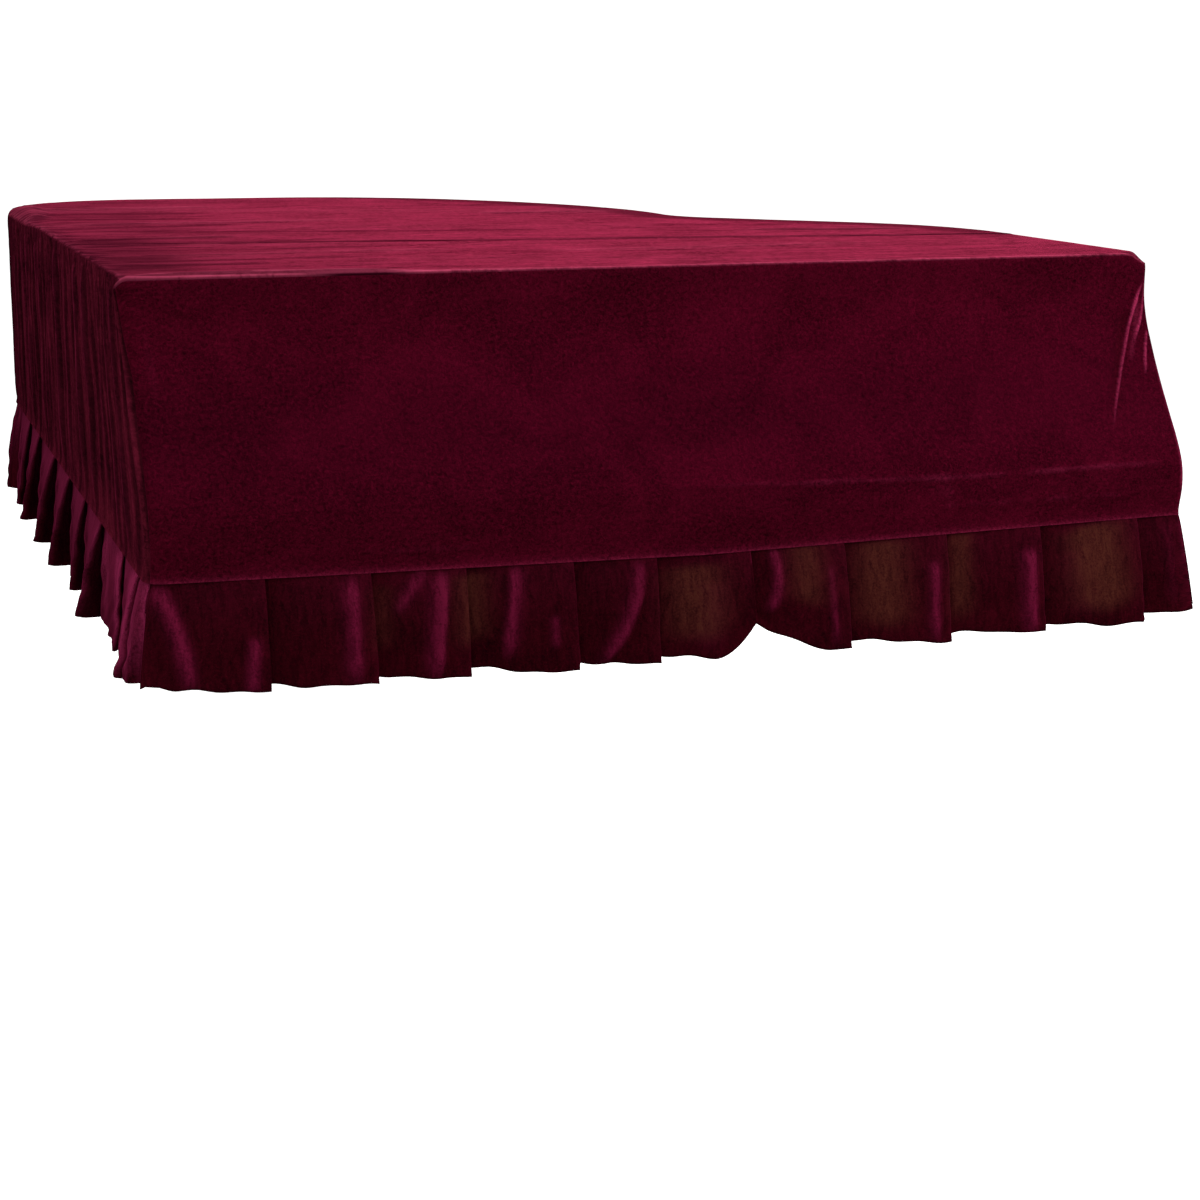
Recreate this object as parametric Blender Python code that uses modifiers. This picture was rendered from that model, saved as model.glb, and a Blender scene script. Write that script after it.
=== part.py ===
"""Fitted burgundy velvet cover for a grand piano, hanging as it does from the rim of its flat top.

The cover is a flat top in two widths, four side panels and a pleated ruffle in six strips. Every strip
hangs from one closed outline, the rim, so a point of the cloth is named by its distance along the rim
and its drop below it. The frame is in metres, +Z up and +Y towards the tail, with its origin on the
top's underside.
"""

import math
from typing import NamedTuple

import bmesh
import bpy
from mathutils import Vector

# Driving sizes of the cover, in metres
COVER_WIDTH = 1.500
SEAT_FROM_FRONT = 0.800
TOP_SEAM_FROM_FRONT = 0.500
TOP_SEAM_SLANT = -0.107
CLOTH = 0.0015
SEAM_GAP = 0.0004
SEAM_LIP = 0.003
HEM_GAP = 0.0006
RUFFLE_HEADING = 0.006
COLLECTION_NAME = "grand_piano_cover"

# Colours of the velvet by panel, linear red, green and blue
TOP_WINE = (0.200, 0.012, 0.045)
FRONT_WINE = (0.060, 0.002, 0.012)
SIDE_WINE = (0.040, 0.003, 0.009)
RUFFLE_WINE = (0.080, 0.002, 0.020)
VELVET_ROUGHNESS = 0.85


class Run(NamedTuple):
    """One straight or arc of the rim, walked anticlockwise from the front left corner."""

    name: str
    length: float
    radius: float
    turn: float


# A straight has a length, an arc a radius and its turn to the left in degrees.
# The tail and the spine are as long as it takes to close the outline.
LEFT_CORNER_RADIUS = 0.020
RIGHT_CORNER_RADIUS = 0.006
TAIL_CORNER_RADIUS = 0.265
CLOSES = 0.0
OUTLINE = (
    Run("front", COVER_WIDTH - LEFT_CORNER_RADIUS - RIGHT_CORNER_RADIUS, 0.0, 0.0),
    Run("right_corner", 0.0, RIGHT_CORNER_RADIUS, 90.0),
    Run("cheek", 0.442, 0.0, 0.0),
    Run("cheek_bend", 0.0, 0.395, 47.7),
    Run("diagonal", 0.260, 0.0, 0.0),
    Run("waist", 0.0, 0.162, -46.2),
    Run("long_bend", 0.0, 0.767, 58.8),
    Run("tail_bend", 0.0, 0.376, 29.7),
    Run("tail", CLOSES, 0.0, 0.0),
    Run("tail_corner", 0.0, TAIL_CORNER_RADIUS, 90.0),
    Run("spine", CLOSES, 0.0, 0.0),
    Run("left_corner", 0.0, LEFT_CORNER_RADIUS, 90.0),
)


class FrontRow(NamedTuple):
    """How far forward the front panel is pushed at one drop below the rim."""

    drop: float
    forward: float


FRONT_PROFILE = (
    FrontRow(0.000, 0.000),
    FrontRow(0.060, 0.002),
    FrontRow(0.100, 0.014),
    FrontRow(0.140, 0.034),
    FrontRow(0.180, 0.058),
    FrontRow(0.220, 0.084),
    FrontRow(0.260, 0.108),
    FrontRow(0.290, 0.120),
    FrontRow(0.320, 0.123),
    FrontRow(0.370, 0.118),
    FrontRow(0.600, 0.118),
)
SIDE_PULL_LENGTH = 0.70
HEM_FADE = 0.040
SEAM_FADE = 0.012
FOLD_RISE = 4.0
FOLD_DIE_OUT = 3.0


class SeamRow(NamedTuple):
    """Drop of the seam between panel and ruffle, and of the hem, at one place along the outline."""

    run: str
    share: float
    seam: float
    hem: float


SEAM_ROWS = (
    SeamRow("front", 0.00, 0.372, 0.510),
    SeamRow("front", 0.50, 0.381, 0.519),
    SeamRow("front", 1.00, 0.368, 0.514),
    SeamRow("cheek", 1.00, 0.360, 0.512),
    SeamRow("waist", 0.50, 0.362, 0.517),
    SeamRow("long_bend", 1.00, 0.358, 0.510),
    SeamRow("tail", 0.50, 0.362, 0.516),
    SeamRow("spine", 0.00, 0.356, 0.512),
    SeamRow("spine", 0.60, 0.364, 0.508),
    SeamRow("spine", 1.00, 0.371, 0.506),
)


class Wrinkle(NamedTuple):
    """One soft ridge of a panel, from a place near the top edge to one lower down."""

    panel: str
    top_at: float
    top_drop: float
    low_at: float
    low_drop: float
    height: float
    width: float


# Places are metres along the panel from its start
WRINKLES = (
    Wrinkle("front_panel", 1.474, 0.020, 1.416, 0.210, 0.006, 0.016),
    Wrinkle("front_panel", 1.482, 0.030, 1.452, 0.150, 0.005, 0.014),
    Wrinkle("front_panel", 0.020, 0.030, 0.085, 0.300, 0.004, 0.030),
    Wrinkle("right_panel", 0.014, 0.050, 0.040, 0.230, 0.006, 0.022),
    Wrinkle("right_panel", 0.130, 0.020, 0.100, 0.340, 0.005, 0.045),
    Wrinkle("right_panel", 0.420, 0.010, 0.440, 0.340, 0.006, 0.050),
    Wrinkle("right_panel", 0.700, 0.020, 0.690, 0.350, 0.005, 0.045),
    Wrinkle("right_panel", 1.010, 0.010, 1.030, 0.350, 0.008, 0.055),
    Wrinkle("right_panel", 1.330, 0.020, 1.310, 0.350, 0.005, 0.050),
    Wrinkle("right_panel", 1.600, 0.010, 1.620, 0.350, 0.006, 0.050),
    Wrinkle("tail_panel", 0.250, 0.010, 0.240, 0.350, 0.005, 0.050),
    Wrinkle("tail_panel", 0.560, 0.010, 0.580, 0.350, 0.006, 0.045),
    Wrinkle("left_panel", 0.110, 0.010, 0.120, 0.350, 0.005, 0.040),
    Wrinkle("left_panel", 0.290, 0.010, 0.280, 0.340, 0.006, 0.040),
    Wrinkle("left_panel", 0.480, 0.010, 0.500, 0.350, 0.005, 0.045),
    Wrinkle("left_panel", 0.690, 0.010, 0.670, 0.350, 0.007, 0.045),
    Wrinkle("left_panel", 0.870, 0.010, 0.880, 0.350, 0.005, 0.040),
    Wrinkle("left_panel", 1.060, 0.010, 1.040, 0.350, 0.006, 0.040),
    Wrinkle("left_panel", 1.240, 0.010, 1.260, 0.340, 0.005, 0.040),
    Wrinkle("left_panel", 1.390, 0.020, 1.400, 0.330, 0.005, 0.035),
)


class TopRipple(NamedTuple):
    """One shallow ripple that lies across the top."""

    from_front: float
    slant: float
    middle: float
    half_length: float
    height: float
    width: float


TOP_RIPPLES = (
    TopRipple(0.130, 0.010, -0.55, 0.35, 0.0030, 0.050),
    TopRipple(0.300, -0.020, -0.40, 0.50, 0.0030, 0.060),
    TopRipple(0.420, 0.010, 0.30, 0.60, 0.0020, 0.050),
    TopRipple(0.640, -0.030, -0.45, 0.55, 0.0040, 0.060),
    TopRipple(0.860, 0.020, -0.30, 0.60, 0.0030, 0.070),
    TopRipple(1.080, -0.020, -0.50, 0.45, 0.0040, 0.070),
    TopRipple(1.300, 0.030, -0.35, 0.50, 0.0030, 0.070),
    TopRipple(1.520, -0.010, -0.45, 0.40, 0.0040, 0.080),
)
TOP_RING = 120
TOP_COLUMNS = 11
TOP_CELL_DEPTH = 0.075
CORNER_DROOP = 0.012
CORNER_DROOP_REACH = 0.070
DROOP_FADE = 0.120


class Pleat(NamedTuple):
    """One knife pleat: its share of the strip, and how far out its base and fold hang at the hem."""

    width: float
    base: float
    fold: float


FRONT_LEFT_PLEATS = (
    Pleat(1.40, 0.010, 0.038),
    Pleat(1.40, 0.003, 0.042),
    Pleat(1.30, 0.000, 0.026),
    Pleat(1.50, -0.008, 0.034),
    Pleat(1.20, -0.004, 0.024),
    Pleat(1.44, 0.000, 0.030),
)
FRONT_RIGHT_PLEATS = (
    Pleat(1.36, 0.004, 0.040),
    Pleat(1.60, 0.006, 0.030),
    Pleat(1.50, 0.004, 0.034),
    Pleat(1.60, 0.002, 0.042),
    Pleat(0.75, 0.000, 0.016),
)
CHEEK_PLEATS = (
    Pleat(1.70, 0.006, 0.018),
    Pleat(1.45, 0.010, 0.034),
    Pleat(1.85, 0.014, 0.040),
    Pleat(1.60, 0.012, 0.034),
    Pleat(1.75, 0.014, 0.038),
)
CURVED_SIDE_PLEATS = (
    Pleat(1.55, 0.014, 0.038),
    Pleat(1.80, 0.010, 0.030),
    Pleat(1.60, 0.016, 0.040),
    Pleat(1.90, 0.018, 0.044),
    Pleat(1.50, 0.016, 0.038),
    Pleat(1.70, 0.020, 0.046),
)
TAIL_PLEATS = (
    Pleat(1.60, 0.018, 0.046),
    Pleat(1.85, 0.018, 0.040),
    Pleat(1.55, 0.016, 0.040),
    Pleat(1.80, 0.020, 0.044),
    Pleat(1.65, 0.022, 0.048),
    Pleat(1.70, 0.020, 0.044),
)
LEFT_PLEATS = (
    Pleat(1.90, 0.012, 0.044),
    Pleat(1.60, 0.006, 0.040),
    Pleat(2.26, 0.004, 0.042),
    Pleat(2.04, 0.003, 0.042),
    Pleat(1.71, 0.000, 0.030),
    Pleat(1.68, 0.000, 0.042),
    Pleat(1.69, 0.004, 0.018),
    Pleat(1.17, 0.000, 0.038),
    Pleat(0.48, 0.034, 0.040),
)


class Strip(NamedTuple):
    """One strip of the ruffle: where it is sewn on, its pleats, and its hem's rise at each end.

    A strip that follows on from another starts on that strip's last fold, with a lift of 1.
    """

    name: str
    start_run: str
    start_share: float
    end_run: str
    end_share: float
    pleats: tuple
    start_rise: float
    end_rise: float
    start_lift: float


NOTCH_SHARE = 0.551
NOTCH_RISE = 0.042
NOTCH_REACH = 0.055
STRIPS = (
    Strip(
        "ruffle_front_left", "left_corner", 0.5, "front", NOTCH_SHARE, FRONT_LEFT_PLEATS,
        0.0, NOTCH_RISE, 1.0),
    Strip(
        "ruffle_front_right", "front", NOTCH_SHARE, "right_corner", 0.5, FRONT_RIGHT_PLEATS,
        NOTCH_RISE, 0.0, 0.05),
    Strip("ruffle_right_cheek", "right_corner", 0.5, "diagonal", 0.5, CHEEK_PLEATS, 0.0, 0.0, 1.0),
    Strip("ruffle_curved_side", "diagonal", 0.5, "long_bend", 0.9, CURVED_SIDE_PLEATS, 0.0, 0.0, 1.0),
    Strip("ruffle_tail", "long_bend", 0.9, "spine", 0.02, TAIL_PLEATS, 0.0, 0.0, 1.0),
    Strip("ruffle_left", "spine", 0.02, "left_corner", 0.5, LEFT_PLEATS, 0.0, 0.0, 1.0),
)
HEAD_LIFT = 0.0075


class PleatPoint(NamedTuple):
    """One point of a knife pleat seen from above: along its width, past its fold, and out."""

    along: float
    past: float
    out: float


# The cloth runs out to the fold and turns back under it to where the next pleat starts
PLEAT = (
    PleatPoint(0.00, -0.012, 0.05),
    PleatPoint(0.30, -0.006, 0.22),
    PleatPoint(0.62, 0.000, 0.50),
    PleatPoint(0.90, 0.000, 0.84),
    PleatPoint(1.00, 0.005, 1.00),
    PleatPoint(1.00, -0.004, 0.48),
)

# Rows below the ruffle's heading, as shares of its depth, and how far it has opened at each
RUFFLE_ROWS = (0.0, 0.35, 0.70, 1.0)
OPENING = (0.0, 0.48, 0.82, 1.0)


class Panel(NamedTuple):
    """One side panel: where it starts and ends on the outline and how finely it is divided."""

    name: str
    start_run: str
    start_share: float
    end_run: str
    end_share: float
    columns: int
    colour: tuple


PANELS = (
    Panel("front_panel", "left_corner", 0.5, "right_corner", 0.5, 36, FRONT_WINE),
    Panel("right_panel", "right_corner", 0.5, "tail_bend", 0.9, 52, SIDE_WINE),
    Panel("tail_panel", "tail_bend", 0.9, "spine", 0.02, 20, SIDE_WINE),
    Panel("left_panel", "spine", 0.02, "left_corner", 0.5, 40, SIDE_WINE),
)

# Rows of every panel as shares of its drop, the same on both sides of a seam
PANEL_ROWS = (0.0, 0.14, 0.28, 0.44, 0.60, 0.74, 0.86, 1.0)


def remove_scene_objects():
    """Empties the scene."""
    for item in list(bpy.data.objects):
        bpy.data.objects.remove(item, do_unlink=True)


def smooth_step(share):
    """Eases a share from 0 to 1 with a level start and end."""
    share = min(max(share, 0.0), 1.0)
    return share * share * (3.0 - 2.0 * share)


def from_rows(rows, value, reading):
    """Reads one column of a table at a place, in straight runs between its rows."""
    if value <= rows[0][0]:
        return rows[0][reading]
    for low, high in zip(rows, rows[1:]):
        if value <= high[0]:
            share = (value - low[0]) / (high[0] - low[0])
            return low[reading] + (high[reading] - low[reading]) * share
    return rows[-1][reading]


class Outline:
    """The rim as straights and arcs, measured by the distance along it."""

    def __init__(self, runs):
        """Walks the runs once and notes where each starts."""
        self.runs = []
        self.starts = {}
        self.places = []
        place = Vector((LEFT_CORNER_RADIUS - COVER_WIDTH / 2, 0.0))
        heading = 0.0
        travelled = 0.0
        for run in runs:
            if run.name == "tail":
                run = run._replace(length=place.x + COVER_WIDTH / 2 - TAIL_CORNER_RADIUS)
            if run.name == "spine":
                run = run._replace(length=place.y - LEFT_CORNER_RADIUS)
            self.runs.append(run)
            self.starts[run.name] = travelled
            self.places.append((travelled, place.copy(), heading, run))
            length = self.run_length(run)
            place, heading = self.walk(place, heading, run, length)
            travelled += length
        self.total = travelled
        self.depth = max(item[1].y for item in self.places)

    @staticmethod
    def run_length(run):
        """Length of a run along the outline."""
        if run.radius:
            return run.radius * math.radians(abs(run.turn))
        return run.length

    @staticmethod
    def walk(place, heading, run, distance):
        """Place and heading after a distance along one run."""
        if not run.radius:
            step = Vector((math.cos(heading), math.sin(heading))) * distance
            return place + step, heading
        side = math.copysign(1.0, run.turn)
        inward = Vector((-math.sin(heading), math.cos(heading))) * side
        centre = place + inward * run.radius
        heading += side * distance / run.radius
        inward = Vector((-math.sin(heading), math.cos(heading))) * side
        return centre - inward * run.radius, heading

    def mark(self, name, share):
        """Distance along the outline of a share of one named run."""
        for run in self.runs:
            if run.name == name:
                return self.starts[name] + share * self.run_length(run)
        raise ValueError(name)

    def span(self, piece):
        """Start and end distances of a strip or panel, the end after the start."""
        start = self.mark(piece.start_run, piece.start_share)
        end = self.mark(piece.end_run, piece.end_share)
        if end < start:
            start -= self.total
        return start, end

    def at(self, distance):
        """Place on the outline and the outward direction there."""
        distance %= self.total
        for start, place, heading, run in reversed(self.places):
            if distance >= start:
                place, heading = self.walk(place, heading, run, distance - start)
                return place, Vector((math.sin(heading), -math.cos(heading)))
        raise ValueError(distance)

    def marks_between(self, start, end, count):
        """About count distances from start to end, with one at each end of every run between."""
        stops = [start + SEAM_LIP, end - SEAM_LIP]
        for lap in (-self.total, 0.0):
            for begin, _place, _heading, _run in self.places:
                stop = begin + lap
                if start + 2 * SEAM_LIP < stop < end - 2 * SEAM_LIP:
                    stops.append(stop)
        stops.sort()
        marks = [start]
        for low, high in zip(stops, stops[1:]):
            pieces = max(2, round(count * (high - low) / (end - start)))
            for index in range(pieces):
                marks.append(low + (high - low) * index / pieces)
        marks.append(stops[-1])
        marks.append(end)
        return marks


RIM = Outline(OUTLINE)


def seam_rows():
    """The seam table with its places turned into distances, closed over one lap."""
    rows = []
    for row in SEAM_ROWS:
        rows.append((RIM.mark(row.run, row.share), row.seam, row.hem))
    first = rows[0]
    rows.append((RIM.total + first[0], first[1], first[2]))
    return rows


SEAM_TABLE = seam_rows()


def seam_drop(distance):
    """Drop of the seam between panel and ruffle."""
    return from_rows(SEAM_TABLE, distance % RIM.total, 1)


def hem_drop(distance):
    """Drop of the ruffle's hem."""
    return from_rows(SEAM_TABLE, distance % RIM.total, 2)


def forward_push(drop):
    """How far forward the front hangs at a drop."""
    return from_rows(FRONT_PROFILE, drop, 1)


def side_share(distance):
    """How much of the forward push a place takes: all of it at the front, none far back."""
    distance %= RIM.total
    right = distance - RIM.starts["cheek"]
    left = RIM.starts["left_corner"] - distance
    back = min(right, left)
    if distance < RIM.starts["cheek"] or distance > RIM.starts["left_corner"]:
        return 1.0
    return max(0.0, 1.0 - back / SIDE_PULL_LENGTH) ** 2


def corner_droop(place):
    """How far the cloth hangs down past the rim's rounded front corners."""
    reach = min((place - Vector((side * COVER_WIDTH / 2, 0.0))).length for side in (-1, 1))
    return CORNER_DROOP * (1.0 - smooth_step(reach / CORNER_DROOP_REACH))


def hanging_point(distance, drop, out):
    """Point of the hanging cloth, out from the rim and pushed forward."""
    place, outward = RIM.at(distance)
    droop = corner_droop(place) * max(0.0, 1.0 - drop / DROOP_FADE)
    place = place + outward * out
    push = forward_push(drop) * side_share(distance)
    return Vector((place.x, place.y - push - SEAT_FROM_FRONT, -drop - droop))


def ridge(across, width):
    """Height share of a soft ridge at a distance across it."""
    return math.exp(-((across / width) ** 2) * 2.0)


def wrinkle_height(panel_name, at, drop):
    """Outward height of a panel's wrinkles at a place along it."""
    height = 0.0
    for fold in WRINKLES:
        if fold.panel != panel_name:
            continue
        share = (drop - fold.top_drop) / (fold.low_drop - fold.top_drop)
        middle = fold.top_at + (fold.low_at - fold.top_at) * share
        fade = smooth_step(1.0 + share * FOLD_RISE) * smooth_step((1.0 - share) * FOLD_DIE_OUT + 0.4)
        height += fold.height * fade * ridge(at - middle, fold.width)
    return height


def ripple_height(place):
    """Height of the top's ripples at a place on it."""
    height = 0.0
    for ripple in TOP_RIPPLES:
        along = (place.x - ripple.middle) / ripple.half_length
        if abs(along) < 1.0:
            middle = ripple.from_front + ripple.slant * along
            fade = smooth_step(1.0 - abs(along))
            height += ripple.height * fade * ridge(place.y - middle, ripple.width)
    return height


def velvet(name, colour):
    """A plain velvet material in one colour."""
    material = bpy.data.materials.new(name)
    material.use_nodes = True
    shader = material.node_tree.nodes["Principled BSDF"]
    shader.inputs["Base Color"].default_value = (*colour, 1.0)
    shader.inputs["Roughness"].default_value = VELVET_ROUGHNESS
    shader.inputs["Metallic"].default_value = 0.0
    return material


def finish_sheet(name, mesh_data, colour, collection):
    """Makes an object of an open sheet and gives it the cloth's thickness."""
    mesh = bpy.data.meshes.new(name)
    mesh_data.to_mesh(mesh)
    mesh_data.free()
    mesh.materials.append(velvet(name + "_velvet", colour))
    piece = bpy.data.objects.new(name, mesh)
    collection.objects.link(piece)
    cloth = piece.modifiers.new("cloth_thickness", "SOLIDIFY")
    cloth.thickness = CLOTH
    cloth.offset = 0.0
    mesh.shade_smooth()
    return piece


def grid_sheet(columns, rows, point_at):
    """A grid whose points are moved to point_at(column, row), outer face out."""
    sheet = bmesh.new()
    bmesh.ops.create_grid(sheet, x_segments=columns, y_segments=rows, size=0.5)
    for vertex in sheet.verts:
        column = round((vertex.co.x + 0.5) * columns)
        row = round((0.5 - vertex.co.y) * rows)
        vertex.co = point_at(column, row)
    bmesh.ops.triangulate(sheet, faces=sheet.faces[:])
    return sheet


def build_panel(panel, collection):
    """One side panel, from the rim down to the ruffle's seam."""
    start, end = RIM.span(panel)
    marks = RIM.marks_between(start + SEAM_GAP / 2, end - SEAM_GAP / 2, panel.columns)

    def point_at(column, row):
        distance = marks[column]
        low = seam_drop(distance)
        drop = low * PANEL_ROWS[row]
        ease = smooth_step(min(drop, low - drop) / HEM_FADE)
        ease *= smooth_step((min(distance - start, end - distance) - 2 * SEAM_LIP) / SEAM_FADE)
        out = wrinkle_height(panel.name, distance - start, drop) * ease
        return hanging_point(distance, drop, CLOTH / 2 + out)

    sheet = grid_sheet(len(marks) - 1, len(PANEL_ROWS) - 1, point_at)
    return finish_sheet(panel.name, sheet, panel.colour, collection)


def top_outline(count):
    """The rim as a closed ring of places, just inside the side panels."""
    marks = RIM.marks_between(0.0, RIM.total, count)[:-1]
    ring = []
    for distance in marks:
        place, outward = RIM.at(distance)
        ring.append(place - outward * SEAM_GAP)
    return ring


def build_top(name, keep_front, collection):
    """One width of the top, cut inside the rim along the slanted cross seam."""
    sheet = bmesh.new()
    corners = [sheet.verts.new((place.x, place.y, 0.0)) for place in top_outline(TOP_RING)]
    sheet.faces.new(corners)
    side = -1.0 if keep_front else 1.0
    seam = Vector((0.0, TOP_SEAM_FROM_FRONT + side * SEAM_GAP / 2, 0.0))
    cut_sheet(sheet, seam, Vector((-TOP_SEAM_SLANT, 1.0, 0.0)), keep_front, not keep_front)
    length = TOP_SEAM_FROM_FRONT if keep_front else RIM.depth
    steps_back = round(length / TOP_CELL_DEPTH)
    for index in range(1, steps_back):
        cut_sheet(sheet, Vector((0.0, index * length / steps_back, 0.0)), Vector((0.0, 1.0, 0.0)))
    for index in range(1, TOP_COLUMNS):
        across = COVER_WIDTH * (index / TOP_COLUMNS - 0.5)
        cut_sheet(sheet, Vector((across, 0.0, 0.0)), Vector((1.0, 0.0, 0.0)))
    for vertex in sheet.verts:
        place = vertex.co.xy
        lift = ripple_height(place) - corner_droop(place)
        vertex.co = (place.x, place.y - SEAT_FROM_FRONT, CLOTH / 2 + lift)
    bmesh.ops.triangulate(sheet, faces=sheet.faces[:])
    return finish_sheet(name, sheet, TOP_WINE, collection)


def cut_sheet(sheet, place, normal, clear_beyond=False, clear_before=False):
    """Cuts a flat sheet at a plane, and clears one side of it where asked."""
    geometry = sheet.verts[:] + sheet.edges[:] + sheet.faces[:]
    bmesh.ops.bisect_plane(
        sheet, geom=geometry, dist=0.0001, plane_co=place, plane_no=normal,
        clear_outer=clear_beyond, clear_inner=clear_before)


def hem_rise(strip, from_start, from_end):
    """How far the hem curves up at a loose end of a strip."""
    rise = 0.0
    for height, reach in ((strip.start_rise, from_start), (strip.end_rise, from_end)):
        left = 1.0 - min(max(reach / NOTCH_REACH, 0.0), 1.0)
        rise += height * (1.0 - math.sqrt(1.0 - left * left))
    return rise


class PleatMark(NamedTuple):
    """One point along a strip's seam: its distance, its share of the lift, and the pleat it is in."""

    distance: float
    lift: float
    pleat: Pleat


def pleat_marks(strip, start, end):
    """Every point along a strip's seam, pleat after pleat, ending at the last fold."""
    total = sum(pleat.width for pleat in strip.pleats)
    marks = []
    begun = start
    for pleat in strip.pleats:
        width = (end - start) * pleat.width / total
        for point in PLEAT:
            distance = begun + width * point.along + point.past
            lift = point.out if marks else strip.start_lift
            marks.append(PleatMark(min(max(distance, start), end), lift, pleat))
        begun += width
    return marks[:-1]


def build_ruffle(strip, collection):
    """One pleated strip of the ruffle, from the panels' seam to its hem."""
    start, end = RIM.span(strip)
    start += HEM_GAP
    end -= HEM_GAP
    marks = pleat_marks(strip, start, end)

    def point_at(column, row):
        distance, lift, pleat = marks[column]
        head = seam_drop(distance) + HEM_GAP
        low = hem_drop(distance) - hem_rise(strip, distance - start, end - distance)
        at_head = (lift - 0.5) * HEAD_LIFT
        if row == 0:
            return hanging_point(distance, head, at_head)
        share = RUFFLE_ROWS[row - 1]
        drop = head + RUFFLE_HEADING + (low - head - RUFFLE_HEADING) * share
        at_hem = pleat.base + (pleat.fold - pleat.base) * lift
        return hanging_point(distance, drop, at_head + (at_hem - at_head) * OPENING[row - 1])

    sheet = grid_sheet(len(marks) - 1, len(RUFFLE_ROWS), point_at)
    return finish_sheet(strip.name, sheet, RUFFLE_WINE, collection)


def build_cover():
    """Every piece of the cover, in its own collection."""
    remove_scene_objects()
    collection = bpy.data.collections.new(COLLECTION_NAME)
    bpy.context.scene.collection.children.link(collection)
    build_top("top_front_width", True, collection)
    build_top("top_back_width", False, collection)
    for panel in PANELS:
        build_panel(panel, collection)
    for strip in STRIPS:
        build_ruffle(strip, collection)


build_cover()
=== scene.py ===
"""Looks of the burgundy velvet cover for a grand piano.

Every sheet of the cover is laid again over its solid as a finer sheet of pleuche velvet, with its main
creases listed and the fine unevenness of cloth between them. A point of the hanging cloth is
named by its distance along the rim of the top and its drop below it, as in the model itself.
"""

import logging
import math
from dataclasses import dataclass, replace
from enum import Enum
from typing import Any

import bmesh
import bpy
import numpy as np
from mathutils import Matrix, Vector


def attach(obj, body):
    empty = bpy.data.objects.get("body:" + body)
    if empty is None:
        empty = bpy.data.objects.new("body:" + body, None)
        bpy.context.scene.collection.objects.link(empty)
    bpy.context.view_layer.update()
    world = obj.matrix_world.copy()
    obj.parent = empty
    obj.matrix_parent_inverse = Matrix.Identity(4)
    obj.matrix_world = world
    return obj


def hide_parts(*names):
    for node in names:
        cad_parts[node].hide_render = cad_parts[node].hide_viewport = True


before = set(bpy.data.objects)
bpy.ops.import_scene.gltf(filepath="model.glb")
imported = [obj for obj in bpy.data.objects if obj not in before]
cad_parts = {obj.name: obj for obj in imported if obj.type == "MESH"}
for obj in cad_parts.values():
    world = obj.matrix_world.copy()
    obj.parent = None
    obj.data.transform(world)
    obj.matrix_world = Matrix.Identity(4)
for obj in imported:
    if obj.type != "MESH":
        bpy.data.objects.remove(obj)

LOG = logging.getLogger("piano_cover")
ROOT_BODY = "root"
CLOTH_MAP = "cloth"
PAINTED_LIGHT_AND_PATCHES = "painted_light_and_patches"

# Driving sizes of the cover, in metres, as its solids have them
COVER_WIDTH = 1.500
SEAT_FROM_FRONT = 0.800
TOP_SEAM_FROM_FRONT = 0.500
TOP_SEAM_SLANT = -0.107
FLOOR_BELOW_TOP = 1.010
CLOTH = 0.0012
Array = np.ndarray
Place = tuple[float, float, float]


def linear(colour: str) -> tuple[float, float, float, float]:
    """Turns an sRGB hex colour to linear light.

    Args:
        colour: six hex digits.

    Returns:
        Red, green, blue and an alpha of 1.
    """
    parts = [int(colour[index:index + 2], 16) / 255.0 for index in (0, 2, 4)]
    bent = [part / 12.92 if part <= 0.04045 else ((part + 0.055) / 1.055) ** 2.4 for part in parts]
    return bent[0], bent[1], bent[2], 1.0


def add_node(tree: bpy.types.NodeTree, kind: str, settings: dict[str, Any], links: dict[str, Any]) -> Any:
    """Adds a node with its settings, values and links.

    Args:
        tree: the material's node tree.
        kind: the node's type.
        settings: attributes of the node.
        links: a value or another node's output for each input.

    Returns:
        The new node.
    """
    node = tree.nodes.new(kind)
    for name, value in settings.items():
        setattr(node, name, value)
    for name, value in links.items():
        if isinstance(value, bpy.types.NodeSocket):
            tree.links.new(value, node.inputs[name])
        else:
            node.inputs[name].default_value = value
    return node


def smooth_step(share: Array) -> Array:
    """Eases a share from 0 to 1 with a level start and end."""
    share = np.clip(share, 0.0, 1.0)
    return share * share * (3.0 - 2.0 * share)


def ridge(across: Array, width: float) -> Array:
    """Height share of a soft ridge at a distance across it."""
    return np.exp(-2.0 * (across / width) ** 2)


def smooth_table(places: list[float], sizes: list[float], at: Array) -> Array:
    """Reads a table on a smooth curve through its rows.

    Args:
        places: where each row stands, rising.
        sizes: the size at each row.
        at: where to read the curve.

    Returns:
        The sizes there, level beyond the first and last rows.
    """
    x = np.asarray(places)
    y = np.asarray(sizes)
    slopes = np.gradient(y, x)
    at = np.clip(at, x[0], x[-1])
    row = np.clip(np.searchsorted(x, at, side="right") - 1, 0, len(x) - 2)
    span = x[row + 1] - x[row]
    share = (at - x[row]) / span
    low = (1.0 + 2.0 * share) * (1.0 - share) ** 2 * y[row] + share * (1.0 - share) ** 2 * span * slopes[row]
    high = share**2 * (3.0 - 2.0 * share) * y[row + 1] + share**2 * (share - 1.0) * span * slopes[row + 1]
    return low + high


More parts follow.
